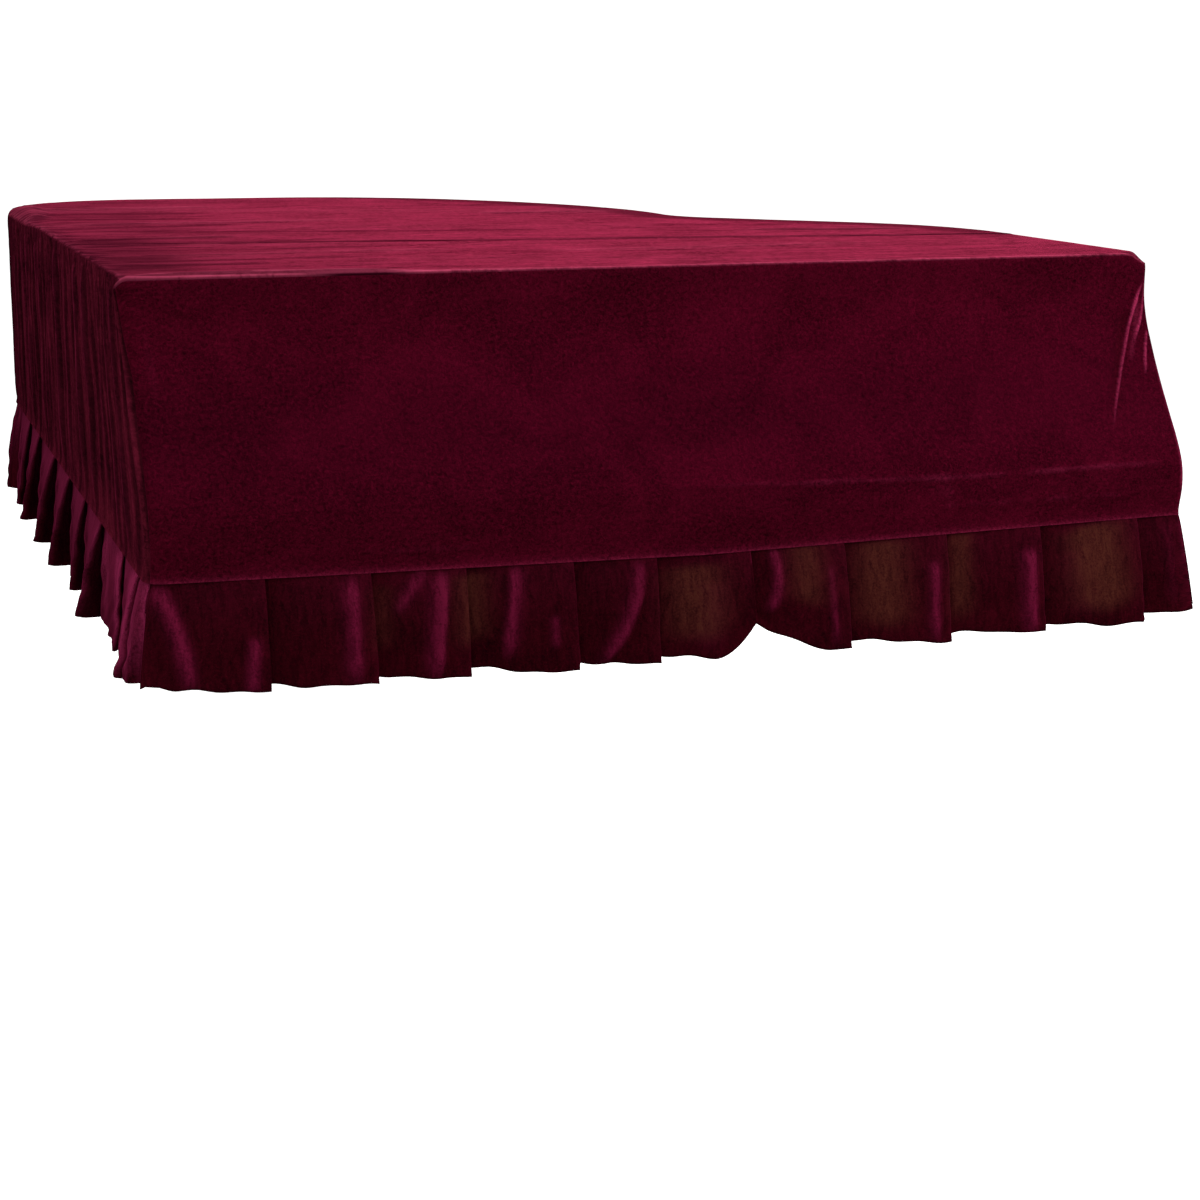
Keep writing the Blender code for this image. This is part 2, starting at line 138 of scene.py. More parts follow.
@dataclass(frozen=True)
class Uneven:
    """The unevenness of hand-sewn cloth: waves of several lengths with seeded phases.

    Attributes:
        seed: picks the phases.
        shortest: shortest wave in metres.
        longest: longest wave in metres.
        waves: how many waves are summed.
    """

    seed: int
    shortest: float
    longest: float
    waves: int = 8

    def at(self, distance: Array) -> Array:
        """Height of the unevenness, about -1 to 1, at each distance."""
        draw = np.random.default_rng(self.seed)
        lengths = np.geomspace(self.shortest, self.longest, self.waves)
        lengths = lengths * draw.uniform(0.88, 1.12, self.waves)
        phases = draw.uniform(0.0, 2.0 * math.pi, self.waves)
        total = np.zeros_like(distance)
        for length, phase in zip(lengths, phases):
            total = total + np.sin(2.0 * math.pi * distance / length + phase)
        return total / math.sqrt(self.waves)


@dataclass(frozen=True)
class Run:
    """One straight or arc of the rim, walked anticlockwise from the front left corner."""

    name: str
    length: float
    radius: float = 0.0
    turn: float = 0.0

    def measure(self) -> float:
        """Length of the run along the rim."""
        return self.radius * math.radians(abs(self.turn)) if self.radius else self.length

    def bend(self) -> float:
        """Turn to the left for each metre walked."""
        return math.copysign(1.0 / self.radius, self.turn) if self.radius else 0.0


LEFT_CORNER_RADIUS = 0.020
RIGHT_CORNER_RADIUS = 0.006
TAIL_CORNER_RADIUS = 0.265


class Rim:
    """The rim of the top as straights and arcs, measured by the distance along it."""

    def __init__(self) -> None:
        """Walks the runs once and notes where each starts."""
        runs = [
            Run("front", COVER_WIDTH - LEFT_CORNER_RADIUS - RIGHT_CORNER_RADIUS),
            Run("right_corner", 0.0, RIGHT_CORNER_RADIUS, 90.0),
            Run("cheek", 0.442),
            Run("cheek_bend", 0.0, 0.395, 47.7),
            Run("diagonal", 0.260),
            Run("waist", 0.0, 0.162, -46.2),
            Run("long_bend", 0.0, 0.767, 58.8),
            Run("tail_bend", 0.0, 0.376, 29.7),
            Run("tail", 0.0),
            Run("tail_corner", 0.0, TAIL_CORNER_RADIUS, 90.0),
            Run("spine", 0.0),
            Run("left_corner", 0.0, LEFT_CORNER_RADIUS, 90.0),
        ]
        x, y, heading, travelled = LEFT_CORNER_RADIUS - COVER_WIDTH / 2, 0.0, 0.0, 0.0
        self.runs: dict[str, Run] = {}
        rows = []
        for run in runs:
            if run.name == "tail":
                run = Run("tail", x + COVER_WIDTH / 2 - TAIL_CORNER_RADIUS)
            if run.name == "spine":
                run = Run("spine", y - LEFT_CORNER_RADIUS)
            self.runs[run.name] = run
            rows.append((travelled, x, y, heading, run.bend()))
            length = run.measure()
            (x,), (y,), (heading,) = self.walk(x, y, heading, run.bend(), np.array([length]))
            travelled += length
        self.total = travelled
        self.rows = np.array(rows)
        self.starts = {name: row[0] for name, row in zip(self.runs, rows)}
        self.depth = float(self.rows[:, 2].max())

    @staticmethod
    def walk(x: Array, y: Array, heading: Array, bend: Array, distance: Array) -> tuple[Array, Array, Array]:
        """Places and headings after a distance along runs of a given bend."""
        curve = np.where(np.abs(bend) > 0.0, bend, 1.0)
        turned = heading + bend * distance
        arc_x = (np.sin(turned) - np.sin(heading)) / curve
        arc_y = (np.cos(heading) - np.cos(turned)) / curve
        straight = np.abs(bend) == 0.0
        step_x = np.where(straight, np.cos(heading) * distance, arc_x)
        step_y = np.where(straight, np.sin(heading) * distance, arc_y)
        return x + step_x, y + step_y, turned

    def mark(self, name: str, share: float) -> float:
        """Distance along the rim of a share of one named run."""
        return self.starts[name] + share * self.runs[name].measure()

    def span(self, start: tuple[str, float], end: tuple[str, float]) -> tuple[float, float]:
        """Distances along the rim of a sheet's two ends, the first one less than the last."""
        first, last = self.mark(*start), self.mark(*end)
        return (first - self.total if last < first else first), last

    def at(self, distance: Array) -> tuple[Array, Array, Array, Array]:
        """Places on the rim and the outward directions there.

        Args:
            distance: distances along the rim, of any lap.

        Returns:
            x and y of each place, and x and y of each outward direction.
        """
        distance = np.mod(distance, self.total)
        row = self.rows[np.searchsorted(self.rows[:, 0], distance, side="right") - 1]
        start, x, y, heading, bend = np.moveaxis(row, -1, 0)
        x, y, heading = self.walk(x, y, heading, bend, distance - start)
        return x, y, np.sin(heading), -np.cos(heading)


RIM = Rim()

# Drops of the front, and how far it is pushed forward at each
FRONT_DROPS = [0.000, 0.060, 0.100, 0.140, 0.180, 0.220, 0.260, 0.290, 0.320, 0.370, 0.450, 0.600]
FRONT_REACH = [0.000, 0.002, 0.014, 0.034, 0.058, 0.084, 0.108, 0.120, 0.123, 0.118, 0.118, 0.118]
SIDE_PULL_LENGTH = 0.70
CORNER_DROOP = 0.014
DROOP_ALONG_LEFT = 0.015
DROOP_ALONG_RIGHT = 0.034
DROOP_BACK = 0.045
TAIL_DROOP = 0.009
# How far the left front corner is drawn to the left and forward, over what reach, fading over what drop
PULL_LEFT = 0.017
PULL_FORWARD = 0.003
PULL_REACH = 0.014
PULL_FADE = 0.120
DROOP_FADE = 0.120
RIGHT_SPREAD = 0.005


@dataclass(frozen=True)
class SeamRow:
    """Drop of the ruffle's seam and of its hem at one place along the rim."""

    run: str
    share: float
    seam: float
    hem: float


SEAM_ROWS = (
    SeamRow("front", 0.00, 0.372, 0.510),
    SeamRow("front", 0.50, 0.381, 0.519),
    SeamRow("front", 1.00, 0.368, 0.514),
    SeamRow("cheek", 1.00, 0.360, 0.512),
    SeamRow("waist", 0.50, 0.362, 0.517),
    SeamRow("long_bend", 1.00, 0.358, 0.510),
    SeamRow("tail", 0.50, 0.362, 0.516),
    SeamRow("spine", 0.00, 0.356, 0.512),
    SeamRow("spine", 0.60, 0.364, 0.508),
    SeamRow("spine", 1.00, 0.371, 0.506),
)


class Hanging:
    """The cloth that hangs from the rim."""

    def __init__(self) -> None:
        """Turns the seam table's places into distances, closed over one lap."""
        self.places = [RIM.mark(row.run, row.share) for row in SEAM_ROWS] + [RIM.total]
        self.seams = [row.seam for row in SEAM_ROWS] + [SEAM_ROWS[0].seam]
        self.hems = [row.hem for row in SEAM_ROWS] + [SEAM_ROWS[0].hem]

    def seam_drop(self, distance: Array) -> Array:
        """Drop of the seam between panel and ruffle."""
        return np.interp(np.mod(distance, RIM.total), self.places, self.seams)

    def hem_drop(self, distance: Array) -> Array:
        """Drop of the ruffle's hem."""
        return np.interp(np.mod(distance, RIM.total), self.places, self.hems)

    @staticmethod
    def side_share(distance: Array) -> Array:
        """How much of the forward push a place takes: all of it at the front, none far back."""
        distance = np.mod(distance, RIM.total)
        back = np.minimum(distance - RIM.starts["cheek"], RIM.starts["left_corner"] - distance)
        return np.clip(1.0 - np.maximum(back, 0.0) / SIDE_PULL_LENGTH, 0.0, 1.0) ** 2

    @staticmethod
    def droop(x: Array, y: Array) -> Array:
        """How far the cloth hangs down past the rim's front corners and the back of its left side."""
        along = np.where(x < 0.0, DROOP_ALONG_LEFT, DROOP_ALONG_RIGHT)
        reach = np.hypot((np.abs(x) - COVER_WIDTH / 2) / along, y / DROOP_BACK)
        tail = TAIL_DROOP * np.exp(-(x + COVER_WIDTH / 2) / 0.016) * smooth_step((y - 0.95) / 0.30)
        return CORNER_DROOP * (1.0 - smooth_step(reach)) + tail

    @staticmethod
    def drawn(x: Array, y: Array, share: Array | float) -> tuple[Array, Array]:
        """Places across and back with the left front corner drawn out past its rounding."""
        near = share * np.exp(-((x + COVER_WIDTH / 2) ** 2 + y**2) / (2.0 * PULL_REACH**2))
        return x - PULL_LEFT * near, y - PULL_FORWARD * near

    def point(self, distance: Array, drop: Array, out: Array) -> Array:
        """Points of the hanging cloth.

        Args:
            distance: distances along the rim.
            drop: drops below the rim.
            out: how far out from the rim.

        Returns:
            One row of x, y and z for each point.
        """
        x, y, out_x, out_y = RIM.at(distance)
        low = self.droop(x, y) * np.maximum(0.0, 1.0 - drop / DROOP_FADE)
        push = smooth_table(FRONT_DROPS, FRONT_REACH, drop) * self.side_share(distance)
        aside = np.abs(np.mod(distance, RIM.total) - RIM.mark("right_corner", 0.5))
        out = out + RIGHT_SPREAD * np.exp(-aside / 0.04) * ridge(drop - 0.32, 0.09)
        x, y = self.drawn(x, y, np.maximum(0.0, 1.0 - drop / PULL_FADE))
        x = x + out_x * out
        y = y + out_y * out - push - SEAT_FROM_FRONT
        return np.stack([x, y, -drop - low], axis=-1)


CLOTHES = Hanging()


@dataclass(frozen=True)
class Crease:
    """One crease, a ridge or a trough, from one place on the cloth to another.

    Attributes:
        start: along and down, or across and back on the top, in metres.
        end: the same at the other end.
        height: height of a ridge, less than nothing for a trough.
        width: width in metres.
        bow: how far the middle bends off the straight line.
        lean: how much steeper the far side is than the near one, from 0 to 1.
    """

    start: tuple[float, float]
    end: tuple[float, float]
    height: float
    width: float
    bow: float = 0.0
    lean: float = 0.0

    def at(self, along: Array, down: Array) -> Array:
        """Height of the crease at places on the cloth."""
        step_along = self.end[0] - self.start[0]
        step_down = self.end[1] - self.start[1]
        length = math.hypot(step_along, step_down)
        off_along = along - self.start[0]
        off_down = down - self.start[1]
        share = (off_along * step_along + off_down * step_down) / length**2
        across = (off_along * step_down - off_down * step_along) / length
        across = across - self.bow * 4.0 * share * (1.0 - share)
        fade = smooth_step(share / 0.15 + 0.2) * smooth_step((1.0 - share) / 0.3 + 0.2)
        width = self.width * np.where(across > 0.0, 1.0 - self.lean, 1.0 + self.lean)
        return self.height * ridge(across, width) * fade


def creases(*rows: tuple[float, ...]) -> tuple[Crease, ...]:
    """Creases from rows in millimetres.

    Args:
        rows: along and down at the start, the same at the end, height, width, bow, and the lean as a share.

    Returns:
        One crease for each row.
    """
    made = []
    for row in rows:
        along, down, end_along, end_down, height, width, bow = (size / 1000.0 for size in (*row, 0.0)[:7])
        lean = row[7] if len(row) > 7 else 0.0
        made.append(Crease((along, down), (end_along, end_down), height, width, bow, lean))
    return tuple(made)


def bands(*rows: tuple[float, ...]) -> tuple[Crease, ...]:
    """Bands of painted highlight and shade, and of brown patches, from the same rows but with a strength
    from 0 to 1 for the height.
    """
    return tuple(replace(crease, height=row[4]) for crease, row in zip(creases(*rows), rows))


def creased(placed: tuple[Crease, ...], along: Array, down: Array) -> Array:
    """Sum of creases at places on the cloth."""
    total = np.zeros_like(along)
    for crease in placed:
        total = total + crease.at(along, down)
    return total


class Grain(Enum):
    """How the pile's brush marks run on the sheet's own map, as their width and length in metres."""

    ACROSS = (0.080, 0.0200)
    EVEN = (0.0060, 0.0048)
    DOWN = (0.0200, 0.100)
    HUNG = (0.0070, 0.070)
    RUFFLED = (0.0080, 0.030)


@dataclass(frozen=True)
class Velvet:
    """Pleuche velvet: a warp-knitted polyester with a short dense pile.

    Seen down into the pile it is nearly black wine. Seen along the fibres it turns crimson, so every
    bend away from the eye lights up. Painted magenta highlights and painted shade in folds and on
    slopes are mixed into the colour from each sheet's points, with brown patches on the ruffle.

    Attributes:
        name: the material's name.
        deep: colour down in the pile.
        tips: colour of the pile's tips.
        brush_bump_and_highlight: colour of the painted highlights.
        shade_and_brown_patch: colour of the painted shade in troughs and on the top's left, and of the
            ruffle's brown patches.
        painted_shade: colour of the painted shade in folds, on slopes and in hollows.
        sheen: colour of the light off the fibres.
        sheen_weight: how strong it is.
        grain: how the brush marks run.
        contrast: how strongly the brush marks show.
        edge_light: how strongly the colour is painted with a highlight where the cloth turns away from the
            eye.
    """

    name: str
    deep: str
    tips: str
    brush_bump_and_highlight: str
    shade_and_brown_patch: str
    painted_shade: str
    sheen: str
    sheen_weight: float
    grain: Grain
    contrast: float

    # A tuft of the pile is 0.8 mm, too fine for the picture, so it is drawn at 1.8 mm
    tuft: float = 0.0018
    crush: tuple[float, float] = (0.0034, 0.0034)
    patch: float = 0.160
    thread: float = 0.0075
    edge_light: float = 0.0

    def noise(self, tree: bpy.types.NodeTree, place: Any, size: tuple[float, float], detail: float) -> Any:
        """Noise whose grain has a given width and length in metres."""
        scaled = add_node(tree, "ShaderNodeVectorMath", {"operation": "MULTIPLY"}, {
            0: place, 1: (1.0 / size[0], 1.0 / size[1], 1.0)})
        return add_node(tree, "ShaderNodeTexNoise", {"noise_dimensions": "2D"}, {
            "Vector": scaled.outputs[0], "Scale": 1.0, "Detail": detail, "Roughness": 0.6,
            "Distortion": 0.6}).outputs["Fac"]

    def ranged(self, tree: bpy.types.NodeTree, value: Any, low: float, high: float, top: float) -> Any:
        """Stretches the part of a value between two limits to run from 0 to top."""
        return add_node(tree, "ShaderNodeMapRange", {"clamp": True}, {
            "Value": value, "From Min": low, "From Max": high, "To Min": 0.0, "To Max": top}).outputs[0]

    def mixed(self, tree: bpy.types.NodeTree, share: Any, first: Any, second: Any) -> Any:
        """Mixes two colours by a share."""
        node = add_node(tree, "ShaderNodeMix", {"data_type": "RGBA", "clamp_factor": True}, {
            0: share, 6: first, 7: second})
        return node.outputs[2]

    def joined(self, tree: bpy.types.NodeTree, operation: str, first: Any, second: Any) -> Any:
        """Joins two numbers by an operation."""
        return add_node(tree, "ShaderNodeMath", {"operation": operation}, {0: first, 1: second}).outputs[0]

    def material(self) -> bpy.types.Material:
        """Builds the material.

        Returns:
            A material that reads the sheet's own map in metres and the painted highlight, shade and brown
            patches on its points.
        """
        material = bpy.data.materials.new(self.name)
        material.use_nodes = True
        tree = material.node_tree
        shader = tree.nodes["Principled BSDF"]
        place = add_node(tree, "ShaderNodeUVMap", {"uv_map": CLOTH_MAP}, {}).outputs[0]
        painted_light_and_patches = add_node(tree, "ShaderNodeAttribute", {"attribute_name": PAINTED_LIGHT_AND_PATCHES}, {}).outputs["Vector"]
        parts = add_node(tree, "ShaderNodeSeparateXYZ", {}, {0: painted_light_and_patches}).outputs

        marks = self.noise(tree, place, self.grain.value, 3.0)
        crush = self.noise(tree, place, self.crush, 3.0)
        patches = self.noise(tree, place, (self.patch, self.patch * 0.7), 3.0)
        tufts = self.noise(tree, place, (self.tuft, self.tuft), 2.0)
        curls = self.joined(tree, "SUBTRACT", self.noise(tree, place, (self.thread, self.thread), 2.0), 0.5)
        curls = self.joined(tree, "ABSOLUTE", curls, 0.0)

        grain = self.joined(tree, "ADD", self.ranged(tree, marks, 0.34, 0.72, 0.40 * self.contrast),
                            self.ranged(tree, crush, 0.34, 0.72, 0.35 * self.contrast))
        grain = self.joined(tree, "ADD", grain, self.ranged(tree, curls, 0.040, 0.0, 0.38 * self.contrast))
        grain = self.joined(tree, "ADD", grain, self.ranged(tree, patches, 0.34, 0.68, 0.25))
        colour = self.mixed(tree, grain, linear(self.deep), linear(self.tips))
        ragged = self.joined(tree, "ADD", self.ranged(tree, crush, 0.34, 0.66, 0.5),
                             self.ranged(tree, marks, 0.34, 0.66, 0.5))
        ragged = self.joined(tree, "ADD", ragged, 0.30)
        # The point attribute paints light into the colour: its first part paints highlights, its second
        # paints shade and brown patches, its third paints shade.
        painted_highlight = self.joined(tree, "MULTIPLY", parts["X"], ragged)
        laid = self.joined(tree, "MULTIPLY", parts["Y"], ragged)
        colour = self.mixed(tree, painted_highlight, colour, linear(self.brush_bump_and_highlight))
        colour = self.mixed(tree, laid, colour, linear(self.shade_and_brown_patch))
        colour = self.mixed(tree, parts["Z"], colour, linear(self.painted_shade))
        # Painted highlight where the surface turns away from the eye.
        facing = add_node(tree, "ShaderNodeLayerWeight", {}, {"Blend": 0.5}).outputs["Facing"]
        turned = self.ranged(tree, facing, 0.70, 0.98, self.edge_light)
        colour = self.mixed(tree, turned, colour, linear(self.brush_bump_and_highlight))
        tree.links.new(colour, shader.inputs["Base Color"])

        pile = add_node(tree, "ShaderNodeBump", {}, {"Strength": 0.35, "Distance": 0.0005, "Height": tufts})
        brush_bump_and_highlight = add_node(tree, "ShaderNodeBump", {}, {
            "Strength": 0.60, "Distance": 0.0012, "Height": grain, "Normal": pile.outputs[0]})
        tree.links.new(brush_bump_and_highlight.outputs[0], shader.inputs["Normal"])

        shader.inputs["Roughness"].default_value = 1.0
        shader.inputs["Specular IOR Level"].default_value = 0.0
        shader.inputs["Sheen Weight"].default_value = self.sheen_weight
        shader.inputs["Sheen Roughness"].default_value = 0.30
        shader.inputs["Sheen Tint"].default_value = linear(self.sheen)
        return material


@dataclass
class Sheet:
    """One sheet of velvet laid over its solid.

    Attributes:
        name: the piece's name.
        node: the solid that it stands for.
        slot: the record's material slot; not used.
        finish: its velvet.
        flat: the width and length it was cut to; not used.
        held: how it is held up; not used.
        rests_on: the pieces that it hangs from or lies on; not used.
    """

    name: str
    node: str
    slot: str
    finish: Velvet
    flat: tuple[float, float]
    held: str
    rests_on: tuple[str, ...]

    def columns(self) -> int:
        """How many cells the sheet has across."""
        raise NotImplementedError

    def rows(self) -> int:
        """How many cells the sheet has down."""
        raise NotImplementedError

    def lay(self, column: Array, row: Array) -> tuple[Array, Array, Array]:
        """Places of the sheet's points, their places on its own map, and their painted highlight, shade and
        brown patches.
        """
        raise NotImplementedError

    def build(self) -> bpy.types.Object:
        columns, rows = self.columns(), self.rows()
        cut = bmesh.new()
        bmesh.ops.create_grid(cut, x_segments=columns, y_segments=rows, size=0.5)
        mesh = bpy.data.meshes.new(self.name)
        cut.to_mesh(mesh)
        cut.free()
        flat = np.empty(len(mesh.vertices) * 3)
        mesh.vertices.foreach_get("co", flat)
        flat = flat.reshape(-1, 3)
        column = np.rint((flat[:, 0] + 0.5) * columns).astype(int)
        row = np.rint((0.5 - flat[:, 1]) * rows).astype(int)
        points, places, painted_light_and_patches = self.lay(column, row)
        mesh.vertices.foreach_set("co", points.astype(np.float32).ravel())
        corners = np.empty(len(mesh.loops), dtype=np.int32)
        mesh.loops.foreach_get("vertex_index", corners)
        layer = mesh.uv_layers.new(name=CLOTH_MAP)
        layer.uv.foreach_set("vector", places[corners].astype(np.float32).ravel())
        # The point attribute carries painted highlights, painted shade and brown patches.
        painted_light_layer = mesh.attributes.new(PAINTED_LIGHT_AND_PATCHES, "FLOAT_VECTOR", "POINT")
        painted_light_layer.data.foreach_set("vector", painted_light_and_patches.astype(np.float32).ravel())
        mesh.shade_smooth()
        mesh.update()
        piece = bpy.data.objects.new(self.name, mesh)
        bpy.context.scene.collection.objects.link(piece)
        mesh.materials.append(self.finish.material())
        cloth = piece.modifiers.new("cloth_thickness", "SOLIDIFY")
        cloth.thickness = CLOTH
        cloth.offset = 0.0
        self.declare(piece)
        return piece

    def declare(self, piece: bpy.types.Object) -> None:
        """Says what the piece rides on and stands for."""
        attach(piece, ROOT_BODY)
        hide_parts(self.node)
        LOG.info("%s: %d faces, stands for %s", piece.name, len(piece.data.polygons), self.node)


# Distances in from a sheet's edge that draw its turned-in lip
LIP = (0.0, 0.0006, 0.0014, 0.0026, 0.0045, 0.0080, 0.0130)
LIP_RADIUS = 0.0026
RIM_BAND = 0.110


def lipped(length: float, cell: float) -> Array:
    """Places from 0 to length, fine at both ends and evenly spaced between."""
    inner = max(4, round((length - 2 * LIP[-1]) / cell))
    middle = np.linspace(LIP[-1], length - LIP[-1], inner + 1)[1:-1]
    return np.concatenate([LIP, middle, length - np.array(LIP[::-1])])


TOP_FRONT_CREASES = creases(
    (-760, 30, -350, 16, 4, 20), (-740, 155, -520, 185, -3, 18), (-730, 240, -300, 260, -1.5, 22),
    (-700, 340, -200, 350, 1.8, 30), (-100, 280, 450, 300, 1.2, 35), (200, 120, 720, 150, -1.2, 30),
    (-750, 440, -250, 430, -2, 20),
)
TOP_BACK_CREASES = creases(
    (-750, 560, -300, 590, -3, 24), (-740, 660, -450, 690, 2.5, 26), (-660, 850, 100, 700, -3, 22, 20),
    (-740, 900, -400, 960, -2.8, 28), (-730, 1010, -200, 1020, 2.2, 34),
    (-740, 1150, -460, 1110, -3.2, 30), (-730, 1290, -400, 1250, -3.6, 34),
    (-710, 1420, -350, 1440, 3, 40), (-600, 1600, -200, 1560, -2.6, 40), (350, 620, 680, 560, 2.2, 26),
    (250, 760, 550, 700, -2, 30), (50, 1150, 340, 1120, 2, 34), (-50, 1400, 260, 1350, -2, 34),
    (-728, 1180, -712, 1560, 7, 30),
)
# Bands of pile that lie in shade, along the seam and beside the folds, their height being their strength
TOP_SHADES = bands(
    (-745, 592, -180, 522, 0.85, 26), (-300, 528, 300, 482, 0.8, 18), (200, 488, 735, 418, 0.75, 18),
    (-735, 620, -560, 560, 0.55, 45), (-700, 872, -330, 730, 0.6, 32, 10),
    (-726, 1060, -560, 1000, 0.45, 60), (-722, 1260, -520, 1180, 0.5, 60),
    (-360, 745, 200, 650, 0.3, 22), (-740, 420, -300, 400, 0.3, 22), (-735, 300, -620, 290, 0.45, 40),
    (-735, 170, -650, 160, 0.45, 45), (100, 250, 640, 225, 0.25, 16), (150, 640, 620, 560, 0.3, 22),
    (-100, 900, 300, 850, 0.22, 30), (-710, 30, -680, 780, 0.58, 110),
)


def seam_line(x: Array) -> Array:
    """Distance of the top's cross seam from the front, at places across the cover."""
    return TOP_SEAM_FROM_FRONT + TOP_SEAM_SLANT * x


@dataclass
class TopWidth(Sheet):
    """One width of the top, inside the rim and up to the cross seam."""

    is_front: bool
    creases: tuple[Crease, ...]
    cell: float = 0.0080

    def __post_init__(self) -> None:
        """Finds the rim's left and right sides at every distance back, and a ring of places on it."""
        right = RIM.at(np.linspace(RIM.starts["right_corner"], RIM.mark("tail", 0.0), 1500))
        left = RIM.at(np.linspace(RIM.mark("tail", 1.0), RIM.total - 1e-9, 1500))
        self.right = np.stack([right[1], right[0]])
        self.left = np.stack([left[1][::-1], left[0][::-1]])
        self.ring = np.stack(RIM.at(np.linspace(0.0, RIM.total, 2400, endpoint=False)), axis=-1)
        length = TOP_SEAM_FROM_FRONT if self.is_front else RIM.depth - TOP_SEAM_FROM_FRONT
        self.back_shares = lipped(length, self.cell) / length
        self.across = lipped(COVER_WIDTH, self.cell)

    def columns(self) -> int:
        """How many cells the sheet has across."""
        return len(self.across) - 1

    def rows(self) -> int:
        """How many cells the sheet has down."""
        return len(self.back_shares) - 1

    def flat_places(self, column: Array, row: Array) -> tuple[Array, Array]:
        """Places of the width's points on the flat, before it is draped."""
        share = (self.across[column] - LIP[-1]) / (COVER_WIDTH - 2 * LIP[-1])
        from_end = len(self.across) - 1 - column
        back = self.back_shares[row] if self.is_front else 1.0 - self.back_shares[row]
        x = COVER_WIDTH * (share - 0.5)
        for _ in range(4):
            seam = seam_line(x)
            y = seam * back if self.is_front else seam + (RIM.depth - seam) * (1.0 - back)
            left, right = np.interp(y, *self.left), np.interp(y, *self.right)
            x = left + LIP[-1] + (right - left - 2 * LIP[-1]) * share
            x = np.where(column < len(LIP), left + self.across[column], x)
            x = np.where(from_end < len(LIP), right - (COVER_WIDTH - self.across[column]), x)
        return x, y

    def rim_distance(self, x: Array, y: Array) -> Array:
        """Distance of each point from the rim."""
        nearest = np.full(len(x), 1.0)
        close = (x - np.interp(y, *self.left) < RIM_BAND) | (np.interp(y, *self.right) - x < RIM_BAND)
        picked = np.flatnonzero(close | (y < RIM_BAND) | (y > RIM.depth - RIM_BAND))
        for part in np.array_split(picked, max(1, len(picked) // 2000)):
            gap_x = x[part, None] - self.ring[None, :, 0]
            gap_y = y[part, None] - self.ring[None, :, 1]
            spot = self.ring[np.argmin(gap_x**2 + gap_y**2, axis=1)]
            nearest[part] = np.abs((x[part] - spot[:, 0]) * spot[:, 2] + (y[part] - spot[:, 1]) * spot[:, 3])
        return nearest

    def height(self, x: Array, y: Array) -> Array:
        """Height of the draped cloth: its creases, fine ripples across it and the ridge along the seam."""
        drift = 0.012 * Uneven(31, 0.25, 0.9).at(x)
        leftness = np.exp(-(x + COVER_WIDTH / 2) / 0.28)
        patchy = 0.5 + 0.5 * Uneven(33, 0.10, 0.45, 5).at(x + 3.0 * y)
        fine = Uneven(32, 0.020, 0.080, 8).at(y + drift) * patchy
        broad = Uneven(34, 0.18, 0.60, 6).at(y * 1.3 + x * 0.3)
        lift = creased(self.creases, x, y) + (0.22 + 0.78 * leftness) * (0.0008 * fine + 0.0010 * broad)
        behind = seam_line(x) + 0.003 * Uneven(35, 0.12, 0.60, 5).at(x) - y
        return lift + 0.0018 * ridge(behind - 0.007, 0.013) + 0.0008 * ridge(behind + 0.010, 0.012)

    def front_roll(self, x: Array, y: Array) -> Array:
        """The puffed roll just behind the front edge, full at the left and gone halfway across."""
        full = smooth_step((0.10 - x) / 0.75)
        return 0.0014 * full * ridge(y - 0.010, 0.026)

    def gathers(self, x: Array, y: Array) -> Array:
        """The small puckers where the left panel is eased into the top's edge."""
        edge = np.exp(-(x + COVER_WIDTH / 2) / 0.022)
        puckers = 0.0020 * Uneven(36, 0.030, 0.110, 6).at(y) + 0.0007 * Uneven(37, 0.010, 0.026, 5).at(y)
        return puckers * edge

    def folds(self, x: Array, y: Array) -> Array:
        """Height of everything on the top but its front roll and its turned-in lip."""
        return self.height(x, y) + self.gathers(x, y) - Hanging.droop(x, y)

    def lay(self, column: Array, row: Array) -> tuple[Array, Array, Array]:
        """Places of the top's points, their places on its own map, and their painted highlight and shade.

        Slopes that face the front get painted shade.
        """
        x, y = self.flat_places(column, row)
        rim = self.rim_distance(x, y)
        inset = np.clip((LIP_RADIUS - rim) / LIP_RADIUS, 0.0, 1.0)
        turned = LIP_RADIUS * (1.0 - np.sqrt(1.0 - inset**2))
        tucked = 0.0020 * np.exp(-np.abs(y - seam_line(x)) / 0.0020)
        calm = 0.3 + 0.7 * smooth_step(rim / 0.012)
        height = self.height(x, y)
        gathers = self.gathers(x, y)
        lift = np.maximum(height, -0.0012) * calm + self.front_roll(x, y) + gathers
        z = 0.0020 + lift * smooth_step(rim / 0.0024) - turned - tucked - Hanging.droop(x, y)
        slope = (self.folds(x, y + 0.002) - self.folds(x, y - 0.002)) / 0.004
        # Painted highlights on crests, gathers, the rim line and the front roll.
        lit = np.clip(height / 0.003, 0.0, 1.0) * 0.40 + np.clip(gathers / 0.002, 0.0, 1.0) * 0.30
        lit = lit + 0.60 * ridge(rim - 0.004, 0.005) + self.front_roll(x, y) / 0.0020
        far = smooth_step((x + 0.25) / 0.3) * smooth_step((y - 0.3) / 0.2)
        # Painted shade, darker towards the left and along the left edge.
        painted_left_shade = 0.35 * smooth_step((-x - 0.25) / 0.45) + 0.50 * np.exp(-(x + COVER_WIDTH / 2) / 0.032)
        # Painted shade on slopes facing the front, at the lip, in the listed bands and along the far rim.
        painted_shade = 0.70 * smooth_step(slope / 0.14) + 0.40 * smooth_step((0.0018 - rim) / 0.0016)
        painted_shade = painted_shade + np.maximum(creased(TOP_SHADES, x, y), 0.0)
        painted_shade = painted_shade + 0.70 * far * smooth_step((0.100 - rim) / 0.050)
        painted_light_and_patches = np.stack([lit, painted_left_shade, painted_shade], axis=-1)
        place_x, place_y = Hanging.drawn(x, y, 1.0)
        return np.stack([place_x, place_y - SEAT_FROM_FRONT, z], axis=-1), np.stack([x, y], axis=-1), painted_light_and_patches


